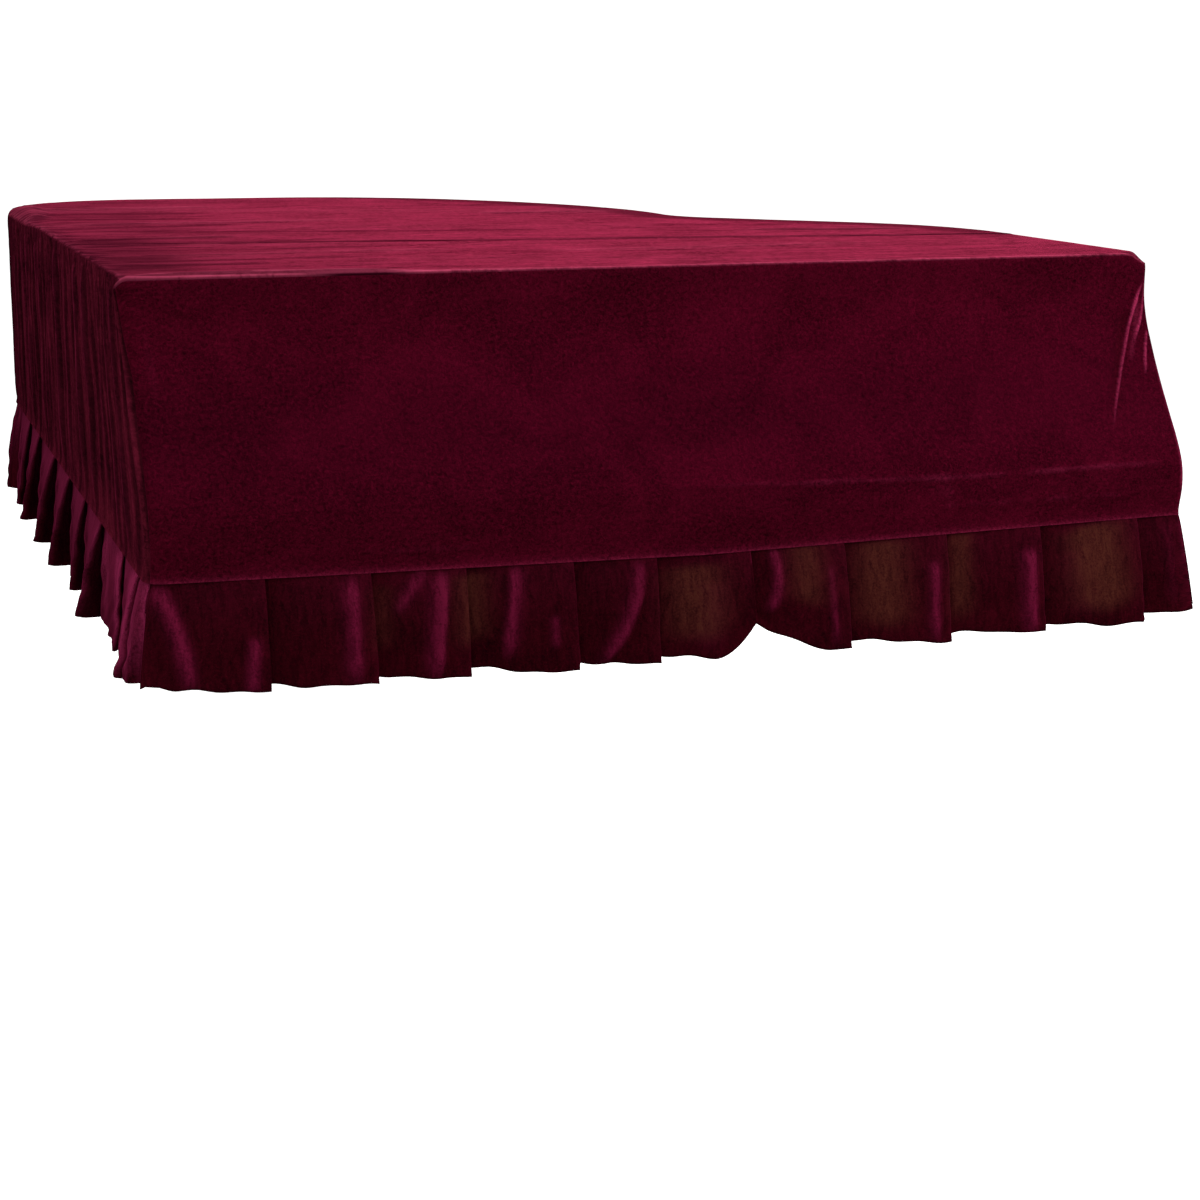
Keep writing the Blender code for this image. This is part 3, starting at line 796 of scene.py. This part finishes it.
FRONT_CREASES = creases(
    (1490, 30, 1396, 235, 3.4, 3.8, 3), (1482, 55, 1446, 160, 2.2, 10, 4),
    (1493, 20, 1464, 122, 3, 4.2, 9), (1491, 107, 1471, 170, 3, 4.4, -2), (1458, 80, 1400, 230, -4, 12),
    (680, 286, 960, 293, 1.8, 6, 3), (900, 286, 1250, 292, 1.6, 6, -3),
    (1230, 293, 1486, 290, 2, 6.5, 2), (820, 315, 1490, 310, 0.9, 30), (1100, 334, 1480, 331, 1.1, 9),
    (150, 344, 480, 350, 1.2, 12), (20, 40, 45, 300, 1, 22), (400, 100, 520, 360, 0.6, 60),
    (760, 80, 720, 350, -0.6, 70), (1050, 100, 1120, 360, 0.4, 60),
)
LEFT_CREASES = creases(
    (60, 4, 65, 350, 4, 24), (130, 4, 120, 360, -3.5, 22), (210, 4, 225, 350, 4.5, 26),
    (300, 4, 290, 340, 3.5, 22), (370, 4, 380, 360, -3.5, 24), (450, 4, 470, 350, 4.5, 26),
    (560, 4, 555, 330, 4, 24), (640, 4, 650, 360, -4, 26), (720, 4, 700, 350, 5, 24),
    (810, 4, 815, 350, 3.5, 20), (890, 4, 880, 360, -3.5, 22), (960, 4, 945, 340, 4, 20),
    (1050, 4, 1045, 360, 4.2, 20), (1120, 4, 1130, 350, -3.5, 18), (1190, 4, 1180, 360, 3.8, 18),
    (1260, 4, 1255, 350, 3.5, 16), (1330, 4, 1322, 360, 3.8, 16), (1385, 4, 1395, 350, -2.8, 14),
    (1420, 4, 1425, 340, 3, 12),
)
RIGHT_CREASES = creases(
    (20, 12, 50, 260, 5, 16), (70, 10, 90, 340, -3.5, 24), (150, 6, 130, 340, 4, 30),
    (280, 6, 290, 350, 3.5, 34), (420, 6, 440, 350, 4.5, 36), (560, 6, 550, 340, -3.5, 36),
    (700, 6, 690, 350, 4.5, 34), (850, 6, 870, 350, -3.5, 34), (1010, 6, 1030, 350, 6, 36),
    (1100, 6, 1090, 340, 4, 28), (1220, 6, 1240, 350, -3.5, 36), (1330, 6, 1310, 350, 4, 34),
    (1480, 6, 1490, 340, 3.6, 36), (1600, 6, 1620, 350, 4.5, 36), (1780, 6, 1770, 340, 3.8, 36),
    (1950, 6, 1960, 350, -3.4, 36),
)
TAIL_CREASES = creases(
    (80, 6, 90, 350, -3.4, 30), (160, 6, 170, 340, 4, 32), (250, 6, 240, 350, 4.2, 34),
    (400, 6, 410, 340, -3.4, 34), (480, 6, 490, 350, 4.2, 30), (560, 6, 580, 350, 4.8, 30),
    (660, 6, 655, 340, 3.8, 28),
)


@dataclass
class HangingPanel(Sheet):
    """One side panel, from the top's seam down to the ruffle's."""

    start: tuple[str, float]
    end: tuple[str, float]
    creases: tuple[Crease, ...]
    gathers: float
    seed: int
    cell: float = 0.0062
    depth_cell: float = 0.0080
    shade: float = 0.0
    halvings: int = 0
    brush_bump_and_highlight: tuple[Crease, ...] = ()

    def __post_init__(self) -> None:
        """Works out the panel's span along the rim, with finer cells at its last end if asked."""
        self.first, self.last = RIM.span(self.start, self.end)
        self.marks = lipped(self.last - self.first, self.cell)
        for _ in range(self.halvings):
            sharp = self.marks[self.marks > self.marks[-1] - 0.110]
            self.marks = np.sort(np.concatenate([self.marks, (sharp[1:] + sharp[:-1]) / 2]))
        self.shares = lipped(0.37, self.depth_cell) / 0.37

    def columns(self) -> int:
        """How many cells the sheet has across."""
        return len(self.marks) - 1

    def rows(self) -> int:
        """How many cells the sheet has down."""
        return len(self.shares) - 1

    def height(self, along: Array, drop: Array) -> Array:
        """Height of the creases, the gathers at the top seam and the fine unevenness."""
        wander = 0.010 * Uneven(self.seed, 0.15, 0.5, 4).at(drop)
        fine = Uneven(self.seed + 1, 0.030, 0.110, 8).at(along + wander)
        finer = Uneven(self.seed + 2, 0.012, 0.034, 6).at(along + 0.5 * wander)
        broad = Uneven(self.seed + 3, 0.20, 0.70, 5).at(along + drop)
        near_top = np.exp(-drop / 0.10)
        gathered = self.gathers * (0.0014 * fine + 0.0011 * finer * near_top)
        return creased(self.creases, along, drop) + gathered + 0.0010 * self.gathers * broad

    def lay(self, column: Array, row: Array) -> tuple[Array, Array, Array]:
        """Places of the panel's points, their places on its own map, and their painted highlight and shade.
        """
        along = self.marks[column]
        distance = self.first + along
        seam = CLOTHES.seam_drop(distance)
        drop = seam * self.shares[row]
        height = self.height(along, drop)
        from_end = np.minimum(along, self.last - self.first - along)
        ease = smooth_step(from_end / 0.014) * smooth_step((seam - drop) / 0.030)
        ease = ease * (0.35 + 0.65 * smooth_step(drop / 0.020))
        rolled = 0.0022 * np.exp(-(seam - drop) / 0.0050)
        tucked = 0.0009 * np.exp(-drop / 0.0022)
        joined = 0.0010 * np.exp(-from_end / 0.0030)
        out = CLOTH / 2 + height * ease + rolled - tucked - joined
        slope = (self.height(along + 0.0015, drop) - self.height(along - 0.0015, drop)) / 0.003
        # Painted highlights on crests, along the lower edge and in the given bands.
        painted_highlight = np.clip(height / 0.004 - 0.3, 0.0, 1.0) * ease * 0.60
        painted_highlight = painted_highlight + 0.30 * np.exp(-(seam - drop) / 0.0030) + creased(self.brush_bump_and_highlight, along, drop)
        # Painted shade in troughs.
        laid = np.clip(-height / 0.005, 0.0, 1.0) * ease * 0.25
        # Painted shade on slopes, and across a band at mid drop by the shade setting.
        painted_shade = self.gathers * 0.65 * smooth_step(-slope / 0.20) + self.shade * ridge(drop - 0.20, 0.14)
        painted_light_and_patches = np.stack([painted_highlight, laid, painted_shade], axis=-1)
        points = CLOTHES.point(distance, np.maximum(drop, 0.0008), out)
        return points, np.stack([along, drop], axis=-1), painted_light_and_patches


@dataclass(frozen=True)
class Pleat:
    """One knife pleat: its share of the strip, and how far out its base and fold hang at the hem."""

    width: float
    base: float
    fold: float


def pleats(*rows: tuple[float, float, float]) -> tuple[Pleat, ...]:
    """Pleats from rows of a share of the strip, and of base and fold in millimetres."""
    return tuple(Pleat(width, base / 1000.0, fold / 1000.0) for width, base, fold in rows)


FRONT_LEFT_PLEATS = pleats(
    (1.4, 8, 31), (1.4, 3, 42), (1.3, 0, 26), (1.5, -8, 34), (1.2, -4, 24), (1.44, 0, 30))
FRONT_RIGHT_PLEATS = pleats(
    (1.36, 4, 40), (1.6, 6, 30), (1.5, 4, 34), (1.6, 2, 42), (0.75, 6, 34))
CHEEK_PLEATS = pleats(
    (1.7, 10, 34), (1.45, 10, 34), (1.85, 14, 40), (1.6, 12, 34), (1.75, 14, 38))
CURVED_SIDE_PLEATS = pleats(
    (1.55, 14, 38), (1.8, 10, 30), (1.6, 16, 40), (1.9, 18, 44), (1.5, 16, 38), (1.7, 20, 46))
TAIL_PLEATS = pleats(
    (1.6, 18, 46), (1.85, 18, 40), (1.55, 16, 40), (1.8, 20, 44), (1.65, 22, 48), (1.7, 10, 30))
LEFT_PLEATS = pleats(
    (1.9, 8, 30), (1.6, 6, 40), (2.26, 4, 42), (2.04, 3, 42), (1.71, 0, 30), (1.68, 0, 42),
    (1.69, 4, 18), (1.17, 0, 38), (0.48, 26, 31))

# A knife pleat seen from above: share of its width, distance past its fold, and share of its lift
PLEAT_STEPS = [0.00, 0.22, 0.45, 0.66, 0.78, 0.84, 0.87, 0.91, 1.00]
PLEAT_ALONG = [0.00, 0.26, 0.55, 0.83, 0.98, 1.00, 1.00, 1.00, 1.00]
PLEAT_PAST = [-0.012, -0.008, -0.002, 0.000, 0.002, 0.0060, 0.0050, 0.0000, -0.012]
PLEAT_OUT = [0.05, 0.26, 0.55, 0.83, 0.97, 0.97, 0.74, 0.56, 0.05]
HEAD_LIFT = 0.0050
HEAD_DEPTH = 0.004
RUFFLE_DEPTH = 0.145
OPENING_POWER = 0.68
NOTCH_SHARE = 0.545


@dataclass(frozen=True)
class Rise:
    """How the hem curves up towards one end of a strip: how high, over what length, how sharply."""

    height: float = 0.0
    reach: float = 0.055
    power: float = 1.9


@dataclass
class RuffleStrip(Sheet):
    """One pleated strip of the ruffle, sewn on behind the panels' lower edge.

    Attributes:
        start: run and share of the rim where the strip begins.
        end: the same for its other end.
        pleats: its pleats in order.
        rises: how its hem curves up at the two ends.
        start_lift: 1 where it follows on from another strip's last fold.
        sag: how much lower the hem hangs at the folds.
        shine: how strong the painted highlight is on the outer faces below the seam and at the fold edges.
        creases: soft folds, as along the strip and down it.
        brush_bump_and_highlight: bands of painted highlight, their height being their strength.
        laid: bands of brown patches, in the same way.
        seed: picks the unevenness of its hem.
    """

    start: tuple[str, float]
    end: tuple[str, float]
    pleats: tuple[Pleat, ...]
    rises: tuple[Rise, Rise]
    start_lift: float
    sag: float
    shine: float
    creases: tuple[Crease, ...]
    brush_bump_and_highlight: tuple[Crease, ...]
    laid: tuple[Crease, ...]
    seed: int
    steps: int = 44
    depth_rows: int = 30

    def __post_init__(self) -> None:
        """Works out every column of the strip, pleat after pleat, ending at the last fold."""
        self.first, self.last = RIM.span(self.start, self.end)
        total = sum(pleat.width for pleat in self.pleats)
        share = np.arange(self.steps) / self.steps
        along = np.interp(share, PLEAT_STEPS, PLEAT_ALONG)
        past = smooth_table(PLEAT_STEPS, PLEAT_PAST, share)
        lift = smooth_table(PLEAT_STEPS, PLEAT_OUT, share)
        lead = self.start_lift * (1.0 - smooth_step(share / 0.16))
        distances, lifts, bases, folds = [], [], [], []
        begun = self.first
        for index, pleat in enumerate(self.pleats):
            width = (self.last - self.first) * pleat.width / total
            distances.append(begun + along * width + past)
            lifts.append(np.maximum(lift, lead) if index == 0 else lift)
            bases.append(np.full(self.steps, pleat.base))
            folds.append(np.full(self.steps, pleat.fold))
            begun += width
        keep = len(self.pleats) * self.steps - round(self.steps * (1.0 - PLEAT_STEPS[5]))
        self.distances = np.clip(np.concatenate(distances)[:keep], self.first, self.last)
        self.lifts = np.concatenate(lifts)[:keep]
        self.bases = np.concatenate(bases)[:keep]
        self.folds = np.concatenate(folds)[:keep]
        self.shares = np.concatenate([[0.0, 0.02, 0.045], np.linspace(0.08, 1.0, self.depth_rows)])

    def columns(self) -> int:
        """How many cells the sheet has across."""
        return len(self.distances) - 1

    def rows(self) -> int:
        """How many cells the sheet has down."""
        return len(self.shares) - 1

    def hem_rise(self, distance: Array) -> Array:
        """How far the hem curves up towards the strip's ends."""
        total = np.zeros_like(distance)
        for rise, reach in zip(self.rises, (distance - self.first, self.last - distance)):
            total = total + rise.height * (1.0 - np.clip(reach / rise.reach, 0.0, 1.0)) ** rise.power
        return total

    def inner(self, along: Array) -> Array:
        """1 away from the strip's ends and 0 at them, where it meets the next strip."""
        return smooth_step(np.minimum(along, self.last - self.first - along) / 0.025)

    def lay(self, column: Array, row: Array) -> tuple[Array, Array, Array]:
        """Places of the strip's points, their places on its own map, their painted highlight and shade, and
        brown patches.
        """
        distance, lift, share = self.distances[column], self.lifts[column], self.shares[row]
        along = distance - self.first
        down = share * RUFFLE_DEPTH
        head = CLOTHES.seam_drop(distance) - HEAD_DEPTH
        low = CLOTHES.hem_drop(distance) - self.hem_rise(distance)
        low = low + 0.0022 * self.inner(along) * Uneven(self.seed, 0.06, 0.30, 5).at(along)
        at_head = (lift - 1.0) * HEAD_LIFT - 0.0010
        at_hem = self.bases[column] + (self.folds[column] - self.bases[column]) * lift
        sway = self.inner(along) * Uneven(self.seed + 1, 0.05, 0.16, 5).at(along + 0.2 * share)
        relief = creased(self.creases, along, down)
        out = at_head + (at_hem - at_head) * share**OPENING_POWER
        out = out + (0.0020 * sway * share + relief) * smooth_step(share * 3.0)
        # Cloth that swings out keeps its length, so its hem comes up unless the fold's weight pulls it down
        swung = np.maximum(out, 0.0) ** 2 / (2.0 * RUFFLE_DEPTH)
        drop = head + (low - head) * share + (self.sag * smooth_step(lift) - swung) * share
        points = CLOTHES.point(distance, drop, out)
        outer = smooth_step((lift - 0.1) / 0.3)
        edge = smooth_step((lift - 0.90) / 0.06)
        # Painted highlights in the given bands, on the outer faces below the seam, on crests and at the fold
        # edges.
        painted_highlight = creased(self.brush_bump_and_highlight, along, down) + self.shine * np.exp(-(share / 0.42) ** 2) * outer
        painted_highlight = painted_highlight + np.clip(relief / 0.02, 0.0, 0.3) + 0.25 * edge * self.shine
        # Brown patches in the given bands.
        laid = np.clip(1.3 * creased(self.laid, along, down), 0.0, 0.85)
        # Painted shade in the hollow at the start of each pleat.
        painted_shade = 0.75 * smooth_step((0.20 - lift) / 0.15) * (1.0 - 0.5 * share)
        painted_light_and_patches = np.stack([painted_highlight, laid, painted_shade], axis=-1)
        steps = np.hypot(np.diff(self.distances), np.diff(self.lifts) * 0.03)
        length = np.concatenate([[0.0], np.cumsum(steps)])
        return points, np.stack([length[column], drop], axis=-1), painted_light_and_patches


@dataclass(frozen=True)
class Studio:
    """A pale floor running up into a backdrop, soft lights, and the camera where the photographer stood.

    Attributes:
        camera_place: from the middle of the cover's seat, in metres.
        yaw: degrees turned to the right.
        pitch: degrees looking down.
        roll: degrees turned round its own axis.
        focal: focal length on a 36 mm frame, in millimetres.
    """

    camera_place: tuple[float, float, float] = (-1.171, -3.867, 0.2795)
    yaw: float = 19.20
    pitch: float = 12.87
    roll: float = 0.27
    focal: float = 71.15

    def build(self) -> None:
        """Sets up the floor, the light and the camera."""
        self.add_floor()
        self.add_camera()
        self.add_light("top_light", (0.3, 0.4, 3.0), (0.0, 0.1, 0.0), 3.0, 145.0)
        self.add_light("front_light", (3.3, -3.2, 1.5), (0.6, -0.8, -0.2), 2.6, 146.0)
        self.add_light("fill_light", (-2.4, -4.4, 0.3), (-0.6, -0.5, -0.4), 1.6, 22.0)
        self.add_light("left_light", (-4.0, -1.4, 1.0), (-0.6, -0.1, -0.3), 2.4, 50.0)
        world = bpy.data.worlds.new("studio_air")
        bpy.context.scene.world = world
        world.use_nodes = True
        background = world.node_tree.nodes["Background"]
        background.inputs["Color"].default_value = linear("FFFFFF")
        background.inputs["Strength"].default_value = 0.20
        view = bpy.context.scene.view_settings
        view.view_transform = "Standard"

    def add_floor(self) -> None:
        """A pale cove: a floor that curves up into a wall behind the cover."""
        cove = bmesh.new()
        profile = [cove.verts.new((-14.0, -9.0, -FLOOR_BELOW_TOP))]
        bend = 2.5
        for step in range(13):
            angle = math.radians(90.0 * step / 12)
            profile.append(cove.verts.new((
                -14.0, 6.0 + bend * math.sin(angle), -FLOOR_BELOW_TOP + bend * (1.0 - math.cos(angle)))))
        profile.append(cove.verts.new((-14.0, 6.0 + bend, 9.0)))
        edges = [cove.edges.new(pair) for pair in zip(profile, profile[1:])]
        swept = bmesh.ops.extrude_edge_only(cove, edges=edges)
        moved = [item for item in swept["geom"] if isinstance(item, bmesh.types.BMVert)]
        bmesh.ops.translate(cove, verts=moved, vec=(28.0, 0.0, 0.0))
        bmesh.ops.recalc_face_normals(cove, faces=cove.faces[:])
        mesh = bpy.data.meshes.new("studio_floor")
        cove.to_mesh(mesh)
        cove.free()
        mesh.shade_smooth()
        floor = bpy.data.objects.new("studio_floor", mesh)
        bpy.context.scene.collection.objects.link(floor)
        paint = bpy.data.materials.new("matt_white_paint")
        paint.use_nodes = True
        shader = paint.node_tree.nodes["Principled BSDF"]
        shader.inputs["Base Color"].default_value = linear("F7F6F5")
        shader.inputs["Roughness"].default_value = 0.9
        shader.inputs["Specular IOR Level"].default_value = 0.0
        # Lit from behind, so that it reads white without a bright bounce on the cloth
        shader.inputs["Emission Color"].default_value = linear("FFFFFF")
        shader.inputs["Emission Strength"].default_value = 0.85
        mesh.materials.append(paint)
        floor.visible_diffuse = False
        floor.visible_glossy = False

    def add_light(self, name: str, place: Place, aim: Place, size: float, power: float) -> None:
        """One soft square light aimed at a point."""
        lamp = bpy.data.lights.new(name, "AREA")
        lamp.size = size
        lamp.energy = power
        light = bpy.data.objects.new(name, lamp)
        light.location = place
        light.rotation_mode = "QUATERNION"
        light.rotation_quaternion = (Vector(aim) - Vector(place)).to_track_quat("-Z", "Y")
        bpy.context.scene.collection.objects.link(light)

    def add_camera(self) -> None:
        """The camera, turned by its yaw, pitch and roll."""
        lens = bpy.data.cameras.new("camera")
        lens.lens = self.focal
        lens.sensor_width = 36.0
        lens.clip_end = 60.0
        camera = bpy.data.objects.new("camera", lens)
        turned = Matrix.Rotation(math.radians(-self.yaw), 4, "Z")
        turned = turned @ Matrix.Rotation(math.radians(90.0 - self.pitch), 4, "X")
        turned = turned @ Matrix.Rotation(math.radians(self.roll), 4, "Z")
        camera.matrix_world = Matrix.Translation(self.camera_place) @ turned
        bpy.context.scene.collection.objects.link(camera)
        bpy.context.scene.camera = camera


# Copies of one velvet with painted light: the top's is painted lighter and more crimson, as it is lit from
# above and seen at a grazing angle, and the left panel's is painted darker, as little light reaches it; the
# others lie between.
TOP_VELVET = Velvet(
    "top_velvet", "340511", "902442", "B44462", "3C0A1C", "2C0512", "FF5078", 0.15, Grain.ACROSS, 1.1,
    crush=(0.009, 0.016))
FRONT_VELVET = Velvet(
    "front_velvet", "220109", "5D0922", "AC3058", "300A0A", "18010A", "FF3F81", 0.03, Grain.EVEN, 1.0,
    edge_light=0.55)
SIDE_VELVET = Velvet(
    "side_velvet", "120106", "68192B", "7A1C38", "1A0808", "100206", "FF3F81", 0.05, Grain.DOWN, 1.0,
    crush=(0.014, 0.007))
RUFFLE_VELVET = Velvet(
    "ruffle_velvet", "1A0207", "420714", "6C1433", "52261E", "0C0106", "FF3F81", 0.04, Grain.RUFFLED, 1.0,
    edge_light=0.35)
# The left ruffle's copy has a brighter painted highlight.
LEFT_RUFFLE_VELVET = replace(RUFFLE_VELVET, name="left_ruffle_velvet", brush_bump_and_highlight="8C264C")
BACK_VELVET = Velvet(
    "back_velvet", "1A0208", "5A1024", "78183A", "1A0808", "100206", "FF3F81", 0.05, Grain.HUNG, 1.0)
# Where the front's folds catch the light at its right corner
FRONT_HIGHLIGHTS = bands(
    (1490, 30, 1396, 235, 0.75, 2.2, 3), (1493, 20, 1464, 122, 0.6, 2.4, 9),
    (1491, 107, 1471, 170, 0.6, 2.6, -2), (1494, 150, 1494, 345, 0.8, 3),
)

FRONT_LEFT_CREASES = creases(
    (4, 6, 42, 150, 7, 16, 6), (128, 75, 119, 150, 4, 12), (260, 6, 259, 150, 8, 16, 0, 0.4),
    (357, 2, 315, 62, 6, 14), (386, 6, 370, 150, 9, 16, 0, 0.6), (480, 2, 462, 130, 7, 14, 0, -0.5),
    (532, 70, 532, 115, 3, 10), (664, 8, 601, 150, 9, 13, 13, 0.6), (760, 40, 750, 140, 3, 30),
)
# Painted highlights on the left half of the front ruffle
FRONT_LEFT_HIGHLIGHTS = bands(
    (8, 6, 46, 150, 0.8, 12, 6), (128, 75, 119, 155, 0.65, 10), (260, 6, 257, 150, 0.6, 10, 0, 0.4),
    (357, 2, 315, 62, 0.35, 8), (384, 6, 368, 150, 0.9, 11, 0, 0.4),
    (482, 2, 464, 130, 0.6, 9, 0, -0.5), (532, 70, 532, 115, 0.45, 7),
    (660, 8, 597, 150, 0.7, 7, 13, 0.5),
)
# Brown patches on the left half of the front ruffle
FRONT_LEFT_BROWN_PATCHES = bands(
    (421, 10, 421, 110, 0.5, 34), (735, 15, 742, 125, 0.6, 55), (300, 20, 296, 110, 0.25, 24),
)
FRONT_RIGHT_CREASES = creases(
    (34, 2, 22, 115, 6, 11, 12), (117, 30, 119, 140, 3.5, 8), (278, 35, 276, 145, 6, 12, 0, 0.3),
    (431, 30, 429, 150, 6.5, 15, 0, 0.4), (500, 40, 520, 140, 2, 30), (655, 10, 662, 140, 3, 14),
)
# Painted highlights on the right half of the front ruffle
FRONT_RIGHT_HIGHLIGHTS = bands(
    (34, 2, 22, 115, 0.65, 8, 12), (117, 30, 119, 140, 0.4, 5), (278, 35, 276, 145, 0.65, 9),
    (431, 30, 429, 150, 0.75, 13, 0, 0.3), (676, 5, 680, 150, 0.6, 4),
)
# Brown patches on the right half of the front ruffle
FRONT_RIGHT_BROWN_PATCHES = bands(
    (83, 0, 83, 90, 0.5, 34), (200, 2, 200, 130, 0.65, 52), (323, 0, 323, 130, 0.5, 26),
    (535, 5, 548, 128, 0.85, 54),
)
SIDE_RUFFLE_CREASES = creases(
    (80, 20, 90, 145, 4, 20), (260, 20, 250, 145, 3.5, 18), (430, 20, 445, 145, 4.5, 22),
    (620, 20, 610, 145, 3.5, 18), (800, 20, 790, 145, 4, 20), (950, 20, 960, 145, 3.5, 18),
    (1120, 20, 1110, 145, 4, 18), (1300, 20, 1310, 145, 3, 16),
)
# Painted highlights on the left ruffle near the front
LEFT_RUFFLE_HIGHLIGHTS = bands(
    (1120, 2, 1160, 130, 0.5, 35), (1250, 2, 1290, 140, 0.8, 40), (1360, 2, 1400, 140, 0.9, 40),
    (1440, 2, 1450, 100, 0.8, 30),
)


def cover_sheets() -> list[Sheet]:
    """Every sheet of the cover, from the top down.

    Returns:
        The sheets, ready to be built.
    """
    tops = ("top_front_width", "top_back_width")
    sheets: list[Sheet] = [
        TopWidth("top_front_cloth", tops[0], "velvet_top", TOP_VELVET, (1.53, 0.53), "laid", (),
                 True, TOP_FRONT_CREASES),
        TopWidth("top_back_cloth", tops[1], "velvet_top", TOP_VELVET, (1.53, 1.27), "laid", (),
                 False, TOP_BACK_CREASES),
        HangingPanel("front_cloth", "front_panel", "velvet_sides", FRONT_VELVET, (1.52, 0.45), "hung",
                     ("top_front_cloth",), ("left_corner", 0.5), ("right_corner", 0.5), FRONT_CREASES,
                     0.15, 51, 0.0050, 0.0034, 0.32, 2, FRONT_HIGHLIGHTS),
        HangingPanel("right_cloth", "right_panel", "velvet_sides", BACK_VELVET, (2.30, 0.39), "hung",
                     tuple(tops), ("right_corner", 0.5), ("tail_bend", 0.9), RIGHT_CREASES, 0.8, 61),
        HangingPanel("tail_cloth", "tail_panel", "velvet_sides", BACK_VELVET, (0.76, 0.39), "hung",
                     (tops[1],), ("tail_bend", 0.9), ("spine", 0.02), TAIL_CREASES, 0.8, 71),
        HangingPanel("left_cloth", "left_panel", "velvet_sides", SIDE_VELVET, (1.48, 0.40), "hung",
                     tuple(tops), ("spine", 0.02), ("left_corner", 0.5), LEFT_CREASES, 1.0, 81),
    ]
    level = (Rise(), Rise())
    strips = (
        ("front_left", "front_cloth", ("left_corner", 0.5), ("front", NOTCH_SHARE), FRONT_LEFT_PLEATS,
         (Rise(0.010, 0.030), Rise(0.048, 0.058)), 1.0, 0.008, 0.10,
         FRONT_LEFT_CREASES, FRONT_LEFT_HIGHLIGHTS, FRONT_LEFT_BROWN_PATCHES, 0.98),
        ("front_right", "front_cloth", ("front", NOTCH_SHARE), ("right_corner", 0.5), FRONT_RIGHT_PLEATS,
         (Rise(0.042, 0.110, 1.3), Rise(0.011, 0.070, 0.25)), 0.05, 0.008, 0.10,
         FRONT_RIGHT_CREASES, FRONT_RIGHT_HIGHLIGHTS, FRONT_RIGHT_BROWN_PATCHES, 0.80),
        ("right_cheek", "right_cloth", ("right_corner", 0.5), ("diagonal", 0.5), CHEEK_PLEATS,
         (Rise(0.011, 0.070, 0.25), Rise()), 1.0, 0.0, 0.10, SIDE_RUFFLE_CREASES, (), (), 1.05),
        ("curved_side", "right_cloth", ("diagonal", 0.5), ("long_bend", 0.9), CURVED_SIDE_PLEATS,
         level, 1.0, 0.0, 0.50, SIDE_RUFFLE_CREASES, (), (), 1.15),
        ("tail", "tail_cloth", ("long_bend", 0.9), ("spine", 0.02), TAIL_PLEATS,
         level, 1.0, 0.0, 0.50, SIDE_RUFFLE_CREASES, (), (), 1.15),
        ("left", "left_cloth", ("spine", 0.02), ("left_corner", 0.5), LEFT_PLEATS,
         (Rise(), Rise(0.010, 0.030)), 1.0, 0.0, 0.40, SIDE_RUFFLE_CREASES, LEFT_RUFFLE_HIGHLIGHTS, (), 1.72),
    )
    for index, strip in enumerate(strips):
        place, panel, start, end, pleats, rises, lift, sag, shine, creases, brush_bump_and_highlight, laid, length = strip
        finish = LEFT_RUFFLE_VELVET if place == "left" else RUFFLE_VELVET
        sheets.append(RuffleStrip(
            f"ruffle_{place}_cloth", f"ruffle_{place}", "velvet_ruffle", finish, (length, 0.16), "gathered",
            (panel,), start, end, pleats, rises, lift, sag, shine, creases, brush_bump_and_highlight, laid, 91 + 10 * index))
    return sheets


def main() -> None:
    """Builds the studio and every sheet."""
    logging.basicConfig(level=logging.INFO, format="%(message)s")
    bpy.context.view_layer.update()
    Studio().build()
    for sheet in cover_sheets():
        sheet.build()


if __name__ == "__main__":
    main()
